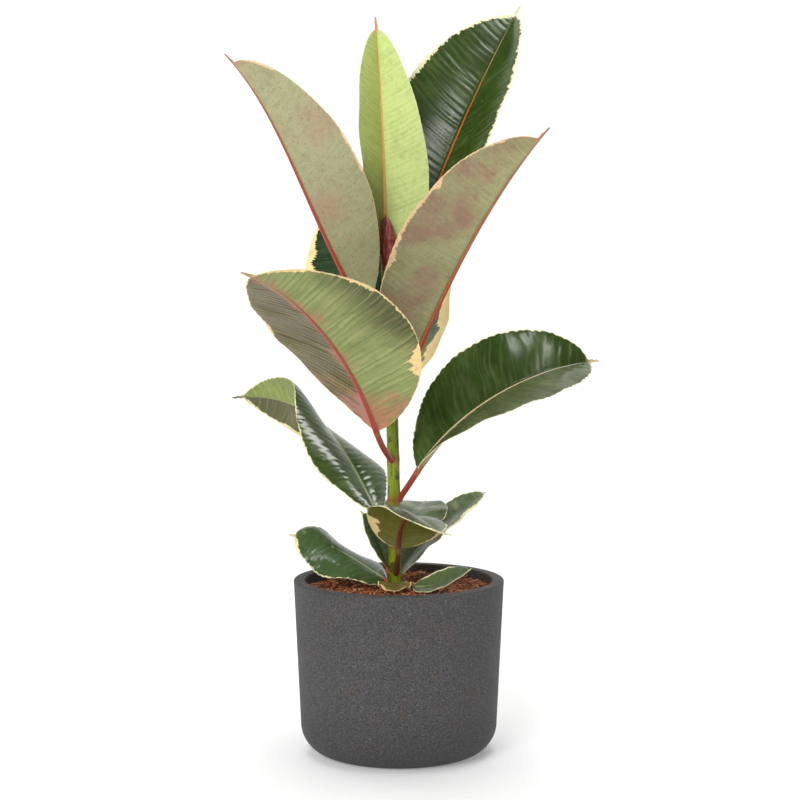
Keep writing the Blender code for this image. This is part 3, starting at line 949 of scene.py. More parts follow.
GLOSSY = Face(
    shade(52, 74, 24), shade(112, 130, 88), shade(243, 236, 186), shade(136, 158, 92), veins=0.22,
    streaks=0.16, cloudy=0.55, rough=0.2,
)
MATT = Face(
    shade(140, 148, 90), shade(150, 156, 106), shade(240, 208, 146), shade(196, 196, 146), veins=0.3,
    specks=0.35, streaks=0.35, cloudy=0.15, rough=0.46,
)


@dataclass(frozen=True)
class LeafFinish:
    """How a whole leaf is coloured: both faces, its ribs, the reach of its pale margin and a painted glow of
    light shining through it.
    """

    upper: Face = GLOSSY
    lower: Face = MATT
    rib_upper: Color = shade(190, 110, 60)
    rib_lower: Color = shade(170, 64, 52)
    stalk: Color = shade(156, 58, 50)
    tip: Color = shade(206, 196, 146)
    margin_width: float = 0.8
    ragged: float = 0.6
    patches: float = 0.0
    blot: tuple[float, float, float, float] = (100.0, 12.0, 0.0, 1.0)
    grey_share: float = 0.1
    line: float = 0.09
    # Painted light: a glow that stands for light shining through the leaf from behind.
    glow: float = 0.0
    seed: float = 1.0

    def material(
        self, name: str, length: float, masks: bpy.types.NodeTree, face: bpy.types.NodeTree
    ) -> bpy.types.Material:
        """Make the leaf's material.

        Args:
            name: The material's name.
            length: The blade's length in metres.
            masks: The variegation group.
            face: The leaf face group.

        Returns:
            The material.
        """
        material, g, place = new_material(name)
        feeds = {
            "Margin Width": self.margin_width, "Raggedness": self.ragged, "Margin Patches": self.patches,
            "Grey Share": self.grey_share, "Vein Line": self.line, "Seed": self.seed,
        }
        feeds |= dict(zip(("Blot At", "Blot Length", "Blot Reach", "Blot Side"), self.blot))
        drawn = g.call(masks, feeds)
        upper, lower = (g.call(face, {**drawn, **side.feeds(self.seed)}) for side in (self.upper, self.lower))
        under, rib, along = (g.attribute(stored) for stored in ("under", "rib", "along"))
        tip_share = along / length
        blade = g.blend(under, upper["Color"], lower["Color"])
        grain = g.noise(place, 420.0, 3.0, 0.6)
        joint = abs(along * MM + 2.5).ramp(3.5, 0.5)
        ribs = g.layers(
            g.blend(under, self.rib_upper, self.rib_lower),
            ((along * MM).ramp(8.0, -2.0), self.stalk),
            (abs(grain - 0.5) * 0.9, shade(90, 60, 30)),
            (tip_share.ramp(0.6, 1.0) * 0.85, self.tip),
            (joint * 0.5, g.blend(0.5, self.stalk, shade(176, 150, 70))),
        )
        color = g.layers(blade, (tip_share.ramp(0.975, 1.02) * 0.9, self.tip), (rib, ribs))
        rough = upper["Roughness"] + (lower["Roughness"] - upper["Roughness"]) * under
        relief = drawn["Vein"] * 0.5 + g.noise(place, 700.0, 2.0) * 0.5
        # Painted light: the leaf glows in its own colour, as if lit through from behind.
        g.surface({
            "Base Color": color, "Roughness": rough + (0.36 - rough) * rib, "IOR": 1.45,
            "Normal": g.bump(relief, 0.12, 0.0002), "Emission Color": color, "Emission Strength": self.glow,
        })
        return material


# The plant.

IN_STEM = 0.0036  # A petiole starts this far from the stem's middle,
ROOT = 0.003  # and a root of this length is hidden behind its start.
COLLAR_LENGTH, COLLAR_GAIN = 0.0022, 0.30  # It is thicker on the stem
JOINT_LENGTH, JOINT_GAIN = 0.004, 0.10  # and where the blade starts.
RIB_START, RIB_DROP, RIB_POWER = 1.08, 0.93, 0.55  # How the midrib tapers along the blade.
RIB_GAIN_SHARE = 0.15  # A leaf's rib gain is reached at this share of the blade.
RIB_SUNK, SINK_LENGTH = 0.32, 0.012  # The midrib sinks into the blade over its first stretch.
RIB_SIDES = 17
DRIP_FROM, DRIP_HALF, DRIP_FLARE = 0.8, 0.0005, 0.09  # The drip tip's start, half width and flare.
EVEN_ROWS, END_ROWS = 0.45, 0.55  # A blade's rows are partly even and partly closer at both ends.
FINE_STEPS = 1200
LARGE_LEAF = 0.09  # Longer blades have more columns.
BELLY = 0.014  # How far a blade's halves bulge, as a share of its width.


@dataclass(frozen=True)
class Leaf:
    """One leaf's dimensions, lengths in metres and angles in degrees, and its finish."""

    name: str
    node: float
    petiole: float
    lift: float
    bearing: float
    rise: float
    length: float
    width: float
    fold: float
    full: float
    drip: float
    thick: float = 0.0042
    sway: float = 0.0
    late_sway: float = 0.0
    bend: float = 0.0
    hook: float = 0.0
    curl: float = 0.0
    roll: float = 0.0
    twist: float = 0.0
    late_twist: float = 0.0
    swell: float = 1.0
    wave: float = 0.0008
    waves: float = 4.0
    wave_start: float = 75.0
    vein_gap: float = 0.0042
    relief: float = 0.00008
    notch: float = 0.0004
    trim: float = 0.0
    rib_gain: float = 1.0
    slot: Slot = Slot.GREEN
    finish: LeafFinish = LeafFinish()

    def directions(self, share: np.ndarray) -> Vectors:
        """Find the midrib's along, side and up directions.

        Args:
            share: Shares of the blade's length.

        Returns:
            Three arrays of unit vectors.
        """
        ease = np.clip((share - 0.16) / 0.6, 0.0, 1.0)
        return turned(
            self.bearing + self.sway * share + self.late_sway * share**3,
            self.rise + self.bend * share + self.hook * share**3,
            self.roll + self.twist * share + self.late_twist * ease * ease * (3 - 2 * ease),
        )

    def petiole_directions(self, share: np.ndarray) -> Vectors:
        """Find the petiole's along, side and up directions.

        Args:
            share: Shares of the petiole's length.

        Returns:
            Three arrays of unit vectors.
        """
        same = np.zeros(len(share))
        rise = self.lift + (self.rise - self.lift) * share
        return turned(self.bearing + same, rise, self.roll + same)

    def half_width(self, share: np.ndarray) -> np.ndarray:
        """Find the blade's half width.

        Args:
            share: Shares of the blade's length.

        Returns:
            The half widths, down to the narrow drip tip.
        """
        place = np.minimum(1.0, share * (self.length + self.drip) / self.length)
        blade = self.width / 2 * np.maximum(0.0, np.sin(np.pi * place**self.swell)) ** self.full
        past = np.clip((share - DRIP_FROM) / (1.0 - DRIP_FROM), 0.0, 1.0)
        flare = np.where(past > 0, DRIP_FLARE * self.width * (1 - past) ** 1.3, 0.0)
        return np.maximum(blade, DRIP_HALF + flare)

    def stalk_radius(self, before: np.ndarray, share: np.ndarray) -> np.ndarray:
        """Return the radius of the petiole and the midrib.

        Args:
            before: Distances along the petiole, up to 0 at the blade.
            share: Shares of the blade's length.

        Returns:
            The radii, thicker at the collar on the stem and at the blade, and 0 at both ends.
        """
        radius = self.thick / 2
        collar = 1 + COLLAR_GAIN * np.exp(-(((before + self.petiole) / COLLAR_LENGTH) ** 2))
        joint = 1 + JOINT_GAIN * np.exp(-((before / JOINT_LENGTH) ** 2))
        gain = 1 + (self.rib_gain - 1) * np.clip(share / RIB_GAIN_SHARE, 0, 1)
        taper = RIB_START - RIB_DROP * share**RIB_POWER
        stalk = np.concatenate([radius * collar * joint, radius * taper * gain])
        stalk[[0, -1]] = 0.0
        return stalk

    def spine(self, rows: int, stalk_rows: int) -> bpy.types.Mesh:
        """Make the points that the leaf is lofted along.

        Args:
            rows: How many points the blade has.
            stalk_rows: How many points the petiole has.

        Returns:
            The mesh, with the section's directions, width and radii on its points.
        """
        outward = turned(np.array([self.bearing]), np.zeros(1), np.zeros(1))[0][0]
        start = stem_axis(np.array([self.node]))[0] + outward * IN_STEM
        along, _, _ = self.petiole_directions((np.arange(stalk_rows) + 0.5) / stalk_rows)
        petiole = start + walked(along * self.petiole / stalk_rows)
        reached = np.linspace(0.0, 1.0, stalk_rows + 1)
        _, side, up = self.petiole_directions(reached)
        total = self.length + self.drip
        fine = np.linspace(0.0, 1.0, FINE_STEPS + 1)
        steps, _, _ = self.directions((fine[1:] + fine[:-1]) / 2)
        path = petiole[-1] + walked(steps * total / FINE_STEPS)
        even = np.linspace(0.0, 1.0, rows)
        share = EVEN_ROWS * even + END_ROWS * (1 - np.cos(np.pi * even)) / 2
        middle = np.stack([np.interp(share, fine, path[:, i]) for i in range(3)], axis=1)
        _, blade_side, blade_up = self.directions(share)
        first = petiole[1] - petiole[0]
        back = petiole[0] - first / np.linalg.norm(first) * ROOT
        before = np.concatenate([[-self.petiole - ROOT], -self.petiole * (1 - reached[:-1])])
        stalk = self.stalk_radius(before, share)
        sunk = np.concatenate([np.zeros(len(before)), np.clip(share * total / SINK_LENGTH, 0, 1)])
        pinch = np.ones(rows)
        pinch[[0, -1]] = 0.0
        blade = {"share": share, "half": self.half_width(share), "pinch": pinch}
        pad = np.zeros(len(before))
        return spine_mesh(
            self.name, np.vstack([back, petiole[:-1], middle]),
            side=np.vstack([side[0], side[:-1], blade_side]), up=np.vstack([up[0], up[:-1], blade_up]),
            along=np.concatenate([before, share * total]), stalk=stalk, sink=sunk * stalk * RIB_SUNK,
            **{name: np.concatenate([pad, values]) for name, values in blade.items()},
        )

    def build(self, tree: bpy.types.NodeTree, material: bpy.types.Material) -> bpy.types.Object:
        """Grow the leaf and put it on the plant.

        Args:
            tree: The leaf form tree.
            material: The leaf's material.

        Returns:
            The leaf.
        """
        columns, rows_per_mm = (97, 1.55) if self.length > LARGE_LEAF else (65, 1.7)
        rows = max(90, round(self.length * MM * rows_per_mm))
        stalk_rows = max(8, round(self.petiole * MM))
        values = {
            "Stalk Rows": stalk_rows + 1, "Blade Rows": rows, "Blade Columns": columns,
            "Rib Sides": RIB_SIDES, "Width": self.width, "Fold": math.radians(self.fold),
            "Curl": math.radians(self.curl) or 0.001, "Wave": self.wave, "Waves": self.waves,
            "Wave Start": math.radians(self.wave_start), "Seed": self.finish.seed,
            "Vein Spacing": self.vein_gap, "Vein Relief": self.relief, "Margin Notch": self.notch,
            "Tip Trim": self.trim, "Bulge": self.width * BELLY, "Finish": material,
        }
        piece = grown(f"{self.name}_form", self.spine(rows, stalk_rows), tree, values)
        return put(piece, self.name)


def walked(steps: np.ndarray) -> np.ndarray:
    """Return the places that steps from the origin lead to."""
    return np.vstack([np.zeros(3), np.cumsum(steps, axis=0)])


def turned(bearing: np.ndarray, rise: np.ndarray, roll: np.ndarray) -> Vectors:
    """Return along, side and up directions; a positive roll turns the right side down.

    Args:
        bearing: Degrees from +X towards +Y.
        rise: Degrees above level.
        roll: Degrees about the along direction.

    Returns:
        Three arrays of unit vectors.
    """
    b, r, q = np.radians(bearing), np.radians(rise), np.radians(roll)[:, None]
    along = np.stack([np.cos(r) * np.cos(b), np.cos(r) * np.sin(b), np.sin(r)], axis=1)
    up = np.stack([-np.sin(r) * np.cos(b), -np.sin(r) * np.sin(b), np.cos(r)], axis=1)
    side = np.cross(along, up)
    return along, side * np.cos(q) - up * np.sin(q), up * np.cos(q) + side * np.sin(q)


LEAN_FROM, LEAN_HEIGHT = 0.119, 0.236
STEM_OFFSET, STEM_LEAN = -0.003, 0.0065


def stem_axis(height: np.ndarray) -> np.ndarray:
    """Return the middle of the stem at heights: it leans gently to the left on the way up."""
    share = np.maximum(0.0, (height - LEAN_FROM) / LEAN_HEIGHT)
    return np.stack([STEM_OFFSET - STEM_LEAN * share**2, 0 * height, height], axis=1)


CREAM = shade(255, 238, 184)

# Painted shade: the darker half and the darker foot stand for the shade on the half turned from the lamps and
# under the neighbouring leaf.
YOUNG_UPPER = replace(
    GLOSSY, deep=shade(206, 222, 140), grey=shade(210, 226, 150), pale=shade(236, 242, 190),
    vein_tint=shade(236, 244, 196), half=shade(176, 186, 96), half_amount=0.75, half_side=-1.0,
    base_shade=0.9, veins=0.4, streaks=0.3, cloudy=0.12, rough=0.36,
)
YOUNG_LOWER = replace(MATT, deep=shade(165, 180, 105), grey=shade(175, 188, 120))
OLIVE_LOWER = replace(
    MATT, deep=shade(164, 162, 122), grey=shade(172, 168, 130), pale=shade(232, 196, 150),
    vein_tint=shade(182, 176, 140), flush=shade(174, 138, 116), flushed=0.6, near_rib=0.06, near_base=0.0,
    specks=0.7, streaks=0.2, cloudy=0.1,
)
PINK_LOWER = replace(
    MATT, deep=shade(150, 148, 104), grey=shade(156, 140, 108), pale=shade(238, 196, 150),
    flush=shade(144, 94, 84), flushed=0.7, flush_reach=0.05, near_rib=-0.18, near_base=0.16, specks=0.6,
    cloudy=0.2, far_shade=0.25,
)
# Partly painted shade: the olive-brown half is partly its own colour and partly the shade of the half that
# faces down; the strong streaks are partly its own pattern and partly painted light and shade on the ridges
# between the veins.
FRONT_LOWER = replace(
    MATT, deep=shade(140, 152, 92), vein_tint=shade(202, 200, 132), flush=shade(190, 118, 100), flushed=0.75,
    flush_reach=-0.15, near_rib=0.22, near_base=0.3, half=shade(82, 72, 10), half_amount=1.0, far_shade=1.0,
    veins=0.45, streaks=0.5, cloudy=0.3,
)
# Painted shade: the dark olive half stands for the shade on the half turned away from the lamps.
GREEN_LOWER = replace(
    MATT, deep=shade(134, 150, 76), grey=shade(160, 168, 106), pale=shade(236, 222, 170),
    half=shade(84, 82, 52), half_amount=0.9,
)
DARK_LOWER = replace(
    MATT, deep=shade(98, 96, 36), grey=shade(120, 110, 60), pale=shade(232, 206, 150),
    vein_tint=shade(124, 118, 62), veins=0.15, streaks=0.2,
)
SOFT_UPPER = replace(
    GLOSSY, deep=shade(84, 102, 66), grey=shade(124, 136, 106), rough=0.3, streaks=0.3, veins=0.35
)
REAR_UPPER = replace(
    GLOSSY, deep=shade(34, 58, 36), grey=shade(88, 108, 94), pale=shade(246, 220, 160), veins=0.1
)
SUNLIT_UPPER = replace(GLOSSY, half=shade(104, 110, 80), half_amount=0.6)

LEAVES = (
    Leaf(
        "leaf_top_new", node=0.344, petiole=0.012, lift=80, bearing=108, rise=91, bend=-16, length=0.160,
        width=0.066, fold=40, roll=18, twist=-34, full=0.53, swell=0.65, drip=0.010, thick=0.0034,
        wave=0.0005, vein_gap=0.0036, relief=0.0001, notch=0.0002, rib_gain=2.7, slot=Slot.YOUNG,
        finish=LeafFinish(
            YOUNG_UPPER, YOUNG_LOWER, shade(222, 164, 96), shade(200, 130, 90), shade(170, 90, 60),
            shade(214, 130, 104), margin_width=0.1, ragged=0.1, grey_share=0.0, seed=2,
        ),
    ),
    Leaf(
        "leaf_upper_right", node=0.327, petiole=0.032, lift=45, bearing=30, sway=20, rise=70, bend=-20,
        length=0.203, width=0.100, fold=35, roll=33, twist=-20, full=0.68, drip=0.010, vein_gap=0.0055,
        relief=0.00022, notch=0.0009, rib_gain=1.35,
        finish=LeafFinish(
            rib_upper=shade(196, 92, 50), margin_width=2.2, ragged=3.2, patches=1.5, line=0.07, seed=3,
        ),
    ),
    Leaf(
        "leaf_upper_left", node=0.285, petiole=0.037, lift=66, bearing=206, sway=-38, rise=58, bend=25,
        hook=-38, length=0.194, width=0.090, fold=50, roll=16, full=0.60, drip=0.009, slot=Slot.UNDERSIDE,
        finish=LeafFinish(
            lower=OLIVE_LOWER, tip=shade(170, 96, 84), margin_width=0.5, ragged=0.3, patches=1.2,
            blot=(182.0, 20.0, 7.0, 1.0), seed=4,
        ),
    ),
    Leaf(
        "leaf_right_forward", node=0.254, petiole=0.024, lift=45, bearing=308, sway=5, rise=57, bend=-10,
        hook=-8, length=0.207, width=0.099, fold=45, roll=26, twist=-12, full=0.48, drip=0.012, trim=-0.8,
        slot=Slot.UNDERSIDE,
        finish=LeafFinish(
            lower=PINK_LOWER, tip=shade(166, 100, 86), margin_width=0.8, ragged=0.9, patches=2.2,
            blot=(112.0, 48.0, 1.7, 1.0), seed=5,
        ),
    ),
    Leaf(
        "leaf_lower_right", node=0.182, petiole=0.026, lift=55, bearing=-12, sway=55, rise=58, bend=-64,
        hook=6, length=0.157, width=0.081, fold=30, roll=28, twist=25, full=0.60, drip=0.012, wave=0.0007,
        waves=6, vein_gap=0.0085, relief=0.00022, notch=0.0011, rib_gain=1.1,
        finish=LeafFinish(
            SUNLIT_UPPER, rib_upper=shade(226, 198, 156), tip=shade(206, 190, 140), margin_width=0.7,
            ragged=1.0, patches=1.0, line=0.045, seed=6,
        ),
    ),
    Leaf(
        "leaf_front_left", node=0.211, petiole=0.046, lift=20, bearing=254, sway=-15, rise=43, bend=-22,
        hook=-8, length=0.218, width=0.104, fold=20, roll=-7, twist=30, full=0.78, swell=0.82, drip=0.012,
        vein_gap=0.006, relief=0.0006, slot=Slot.UNDERSIDE,
        finish=LeafFinish(
            lower=FRONT_LOWER, tip=shade(180, 150, 96), margin_width=0.8, ragged=1.2, patches=1.5,
            blot=(61.0, 16.0, 8.0, -1.0), line=0.07, seed=7,
        ),
    ),
    Leaf(
        "leaf_twisted_left", node=0.152, petiole=0.0255, lift=39, bearing=124, sway=-24, late_sway=90,
        rise=45, bend=-32, hook=-20, length=0.181, width=0.077, fold=10, curl=-32, roll=7, late_twist=53,
        full=0.69, swell=0.96, drip=0.0085, vein_gap=0.0065, relief=0.0002, notch=0.0009,
        finish=LeafFinish(
            lower=GREEN_LOWER, rib_upper=shade(134, 144, 102), rib_lower=shade(190, 185, 130),
            tip=shade(110, 120, 70), margin_width=1.0, ragged=1.2, patches=1.5, line=0.06, seed=8,
        ),
    ),
    Leaf(
        "leaf_behind_stem", node=0.150, petiole=0.008, lift=50, bearing=70, rise=30, bend=-27, length=0.056,
        width=0.055, fold=10, roll=16, twist=-23, full=0.56, drip=0.006, thick=0.0026, relief=0.00014,
        slot=Slot.GREY,
        finish=LeafFinish(
            SOFT_UPPER, grey_share=0.3, rib_upper=shade(150, 158, 126), margin_width=0.2, ragged=0.2,
            patches=0.2, seed=9,
        ),
    ),
    Leaf(
        "leaf_small_front", node=0.129, petiole=0.022, lift=50, bearing=283, sway=25, rise=83, bend=-195,
        hook=118, length=0.080, width=0.057, fold=21, curl=-40, roll=-28, twist=21, full=0.67, swell=0.74,
        drip=0.013, thick=0.0034, wave=0.0005, slot=Slot.UNDERSIDE,
        finish=LeafFinish(
            replace(SOFT_UPPER, deep=shade(96, 108, 78)), DARK_LOWER, rib_lower=shade(108, 46, 30),
            stalk=shade(100, 40, 28), margin_width=0.8, ragged=0.8, patches=1.2, blot=(13.0, 7.0, 6.0, 1.0),
            seed=10,
        ),
    ),
    Leaf(
        "leaf_small_right", node=0.122, petiole=0.005, lift=42, bearing=69, sway=-60, rise=31, bend=2,
        length=0.101, width=0.038, fold=13, roll=-21, twist=44, full=0.46, swell=0.90, drip=0.002,
        thick=0.0026, relief=0.00014, notch=0.0006, slot=Slot.GREY,
        finish=LeafFinish(
            replace(SOFT_UPPER, deep=shade(104, 118, 88)), rib_upper=shade(150, 158, 126), margin_width=0.3,
            ragged=0.3, patches=0.5, blot=(72.0, 34.0, 2.4, 1.0), grey_share=0.4, seed=11,
        ),
    ),
    Leaf(
        "leaf_narrow_left", node=0.128, petiole=0.006, lift=58, bearing=195, rise=76, bend=-22,
        length=0.043, width=0.027, fold=23, roll=-50, twist=-14, full=0.65, drip=0.003, thick=0.0024,
        wave=0.0003, notch=0.0002,
        finish=LeafFinish(
            replace(SOFT_UPPER, deep=shade(66, 88, 60), pale=shade(206, 210, 160)),
            rib_upper=shade(110, 120, 80), margin_width=0.5, ragged=0.3, seed=12,
        ),
    ),
    Leaf(
        "leaf_low_left", node=0.122, petiole=0.0043, lift=15, bearing=160, sway=20, rise=32, bend=-5,
        hook=-25, length=0.073, width=0.056, fold=-3, curl=-25, roll=-5, twist=-20, full=0.32, swell=1.15,
        drip=0.005, thick=0.0026, wave=0.0048, waves=1.5, wave_start=17, vein_gap=0.0045, relief=0.00014,
        notch=0.0008,
        finish=LeafFinish(
            replace(GLOSSY, deep=shade(66, 92, 52), veins=0.12), rib_upper=shade(180, 188, 140),
            margin_width=0.8, ragged=1.6, patches=2.0, blot=(74.0, 12.0, 4.0, -1.0), seed=13,
        ),
    ),
    Leaf(
        "leaf_low_right", node=0.1205, petiole=0.012, lift=0, bearing=-35, sway=28, rise=2, bend=34,
        length=0.046, width=0.028, fold=15, roll=38, twist=-25, full=0.50, swell=1.30, drip=0.002,
        thick=0.0022, wave=0.0003, notch=0.0002, relief=0.00012, slot=Slot.GREY,
        finish=LeafFinish(
            SOFT_UPPER, rib_upper=shade(176, 182, 140), stalk=shade(120, 110, 60), margin_width=0.6,
            ragged=0.4, patches=0.8, seed=14,
        ),
    ),
    Leaf(
        "leaf_withered", node=0.122, petiole=0.004, lift=0, bearing=270, rise=20, bend=-60, length=0.018,
        width=0.024, fold=0, full=0.55, drip=0.001, thick=0.0022, wave=0.0018, waves=3, vein_gap=0.003,
        slot=Slot.WITHERED,
        finish=LeafFinish(
            replace(MATT, deep=shade(112, 104, 46), grey=shade(150, 130, 70)),
            replace(DARK_LOWER, deep=shade(84, 74, 34), grey=shade(110, 84, 50)),
            rib_upper=shade(120, 108, 52), rib_lower=shade(120, 108, 52), stalk=shade(120, 100, 50),
            margin_width=1.2, ragged=1.2, patches=1.5, seed=15,
        ),
    ),
    Leaf(
        "leaf_rear_left", node=0.269, petiole=0.023, lift=55, bearing=115, sway=-10, rise=40, bend=5,
        length=0.150, width=0.066, fold=15, roll=-25, twist=-25, full=0.65, drip=0.008, notch=0.0006,
        finish=LeafFinish(
            replace(REAR_UPPER, base_shade=0.9), margin_width=0.8, ragged=1.0, patches=1.0,
            blot=(80.0, 70.0, 7.0, -1.0), seed=16,
        ),
    ),
    Leaf(
        "leaf_rear_right", node=0.251, petiole=0.023, lift=45, bearing=38, sway=-5, rise=58, bend=38,
        length=0.105, width=0.064, fold=20, roll=10, twist=-15, full=0.60, drip=0.008, slot=Slot.GREY,
        # Painted light: the bright cream, partly its own colour, and the glow stand for light shining through
        # the leaf from behind.
        finish=LeafFinish(
            replace(REAR_UPPER, deep=shade(86, 106, 84), pale=shade(255, 228, 164), vein_tint=CREAM),
            replace(MATT, pale=CREAM, vein_tint=CREAM), margin_width=9.0, ragged=3.0, patches=4.0,
            glow=0.35, grey_share=0.5, seed=17,
        ),
    ),
)


@dataclass
class Crown:
    """All the leaves, grown by one tree and coloured by two shared groups."""

    leaves: tuple[Leaf, ...] = LEAVES

    def build(self) -> None:
        """Grow and dress every leaf."""
        tree, masks, face = leaf_tree(), variegation_group(), face_group()
        for leaf in self.leaves:
            leaf.build(tree, leaf.finish.material(leaf.name, leaf.length, masks, face))


@dataclass(frozen=True)
class BarkFinish:
    """Green bark with olive grain and patches, brown patches by the leaf scars and pale flecks."""

    green: Color = shade(124, 142, 20)
    olive: Color = shade(58, 60, 16)
    brown: Color = shade(140, 92, 36)
    fleck: Color = shade(176, 164, 96)

    def material(self, name: str) -> bpy.types.Material:
        """Make the bark's material.

        Args:
            name: The material's name.

        Returns:
            The material.
        """
        material, g, place = new_material(name)
        grain = g.noise(place.vector_math("MULTIPLY", (1.0, 1.0, 0.25)), 320.0, 4.0, 0.65)
        patches = g.noise(place, 60.0, 3.0, 0.6)
        specks = g.cells(place.vector_math("MULTIPLY", (1.0, 1.0, 0.5)), 420.0).ramp(0.22, 0.1)
        color = g.layers(
            self.green,
            ((grain - 0.5).ramp(0.02, 0.22), self.olive),
            ((patches - 0.52).ramp(0.0, 0.1) * 0.9, self.olive),
            (g.attribute("near_scar") * patches.ramp(0.3, 0.55), self.brown),
            (specks * 0.45, self.fleck),
        )
        rough = 0.42 + (grain - 0.5) * 0.3
        g.surface({"Base Color": color, "Roughness": rough, "Normal": g.bump(grain, 0.3, 0.0003)})
        return material


def bar_spine(
    name: str, points: np.ndarray, along: np.ndarray, radius: np.ndarray, **scars: np.ndarray
) -> bpy.types.Mesh:
    """Make the spine of an upright bar that is closed at both ends.

    Args:
        name: The mesh's name.
        points: One row of coordinates a point.
        along: The bar's own measure along its length.
        radius: The radius at each point.
        scars: The layers of the scar rings; a bar without them has none.

    Returns:
        The mesh.
    """
    radius[[0, -1]] = 0.0
    none = np.zeros(len(points))
    plain = {"scar": none, "scar_size": none, "scar_turn": np.zeros((len(points), 3)), "near_scar": none}
    side, up = np.outer(none + 1, (1, 0, 0)), np.outer(none + 1, (0, 1, 0))
    layers = {"side": side, "up": up, "along": along, "stalk": radius, "sink": none, **plain, **scars}
    return spine_mesh(name, points, **layers)


@dataclass
class Stem:
    """The stem, from the coir to the growing tip, with a scar ring under each leaf above its lowest mark."""

    foot: float = 0.070
    top: float = STEM_TOP
    foot_radius: float = 0.0047
    top_radius: float = 0.0032
    taper: float = 2.2
    sides: int = 41
    step: float = 0.0006
    rough: float = 0.12
    dome: int = 6
    node_swell: float = 0.00025
    node_reach: float = 0.006
    scar_reach: float = 0.004
    tilt: float = 0.08
    lowest_mark: float = 0.14
    nodes: tuple[float, ...] = tuple(leaf.node for leaf in LEAVES)

    def radius(self, height: np.ndarray) -> np.ndarray:
        """Find the stem's radius.

        Args:
            height: Heights in metres.

        Returns:
            The radii, a little swollen at each leaf.
        """
        share = np.clip((height - self.foot) / (self.top - self.foot), 0, 1)
        nearest = np.abs(height[:, None] - np.array(self.nodes)).min(axis=1)
        plain = self.foot_radius + (self.top_radius - self.foot_radius) * share**self.taper
        return plain + self.node_swell * np.exp(-((nearest / self.node_reach) ** 2))

    def build(self, tree: bpy.types.NodeTree, finish: BarkFinish) -> bpy.types.Object:
        """Grow the stem.

        Args:
            tree: The bar form tree.
            finish: The bark.

        Returns:
            The stem.
        """
        count = round((self.top - self.foot) / self.step)
        height = np.linspace(self.foot, self.top, count)
        radius = self.radius(height)
        radius[-self.dome:] *= np.sqrt(np.clip(1 - np.linspace(0.1, 1.0, self.dome) ** 2, 0, 1))
        marked = np.array([node for node in self.nodes if node > self.lowest_mark])
        nearest = np.abs(height[:, None] - marked).min(axis=1)
        scar = np.zeros(count)
        scar[[int(np.abs(height - node).argmin()) for node in marked]] = 1.0
        lean = self.tilt * np.stack([np.sin(height * 400), np.cos(height * 300), 0 * height], axis=1)
        mesh = bar_spine(
            "stem_spine", stem_axis(height), height, radius, scar=scar, scar_size=self.radius(height),
            scar_turn=lean, near_scar=np.exp(-((nearest / self.scar_reach) ** 2)),
        )
        material = finish.material("green_bark")
        values = {"Rows": count, "Sides": self.sides, "Unevenness": self.rough, "Finish": material}
        return put(grown("stem_form", mesh, tree, values), "stem")


@dataclass
class BudSheath:
    """The pointed maroon sheath that wraps the growing tip."""

    length: float = 0.032
    radius: float = 0.0058
    bow: float = 0.0014
    belly: tuple = ((0.0, 0.2, 0.4, 0.55, 0.8, 1.0), (0.45, 0.8, 0.98, 1.0, 0.62, 0.3))
    point: float = 0.0003
    foot: tuple[float, float, float] = (0.0006, -0.0010, -0.007)
    tip: tuple[float, float] = (0.0002, -0.0024)
    rows: int = 120
    sides: int = 41
    color: Color = shade(124, 42, 38)
    light: Color = shade(190, 106, 98)

    def material(self) -> bpy.types.Material:
        """Make the sheath's material: maroon with fine pale streaks along it.

        Returns:
            The material.
        """
        material, g, place = new_material("sheath_maroon")
        streak = g.noise(place.vector_math("MULTIPLY", (1.0, 1.0, 0.12)), 700.0, 3.0, 0.6)
        color = g.blend(streak.ramp(0.4, 0.7), self.color, self.light)
        rough = 0.48 + (streak - 0.5) * 0.2
        g.surface({"Base Color": color, "Roughness": rough, "Normal": g.bump(streak, 0.2, 0.0002)})
        return material

    def build(self, tree: bpy.types.NodeTree) -> bpy.types.Object:
        """Grow the sheath along its bowed spine.

        Args:
            tree: The bar form tree.

        Returns:
            The sheath.
        """
        share = np.linspace(0.0, 1.0, self.rows)
        top = stem_axis(np.array([STEM_TOP]))[0]
        foot = top + np.array(self.foot)
        tip = top + np.array([*self.tip, self.length])
        points = foot + (tip - foot) * share[:, None]
        points[:, 0] += self.bow * np.sin(np.pi * share)
        radius = self.radius * np.interp(share, *self.belly) * (1 - share**12) + self.point
        mesh = bar_spine("sheath_spine", points, share, radius)
        sizes = {"Rows": self.rows, "Sides": self.sides, "Unevenness": 0.04, "Ribs": 0.012}
        piece = grown("bud_sheath_form", mesh, tree, {**sizes, "Finish": self.material()})
        return put(piece, "bud_sheath")


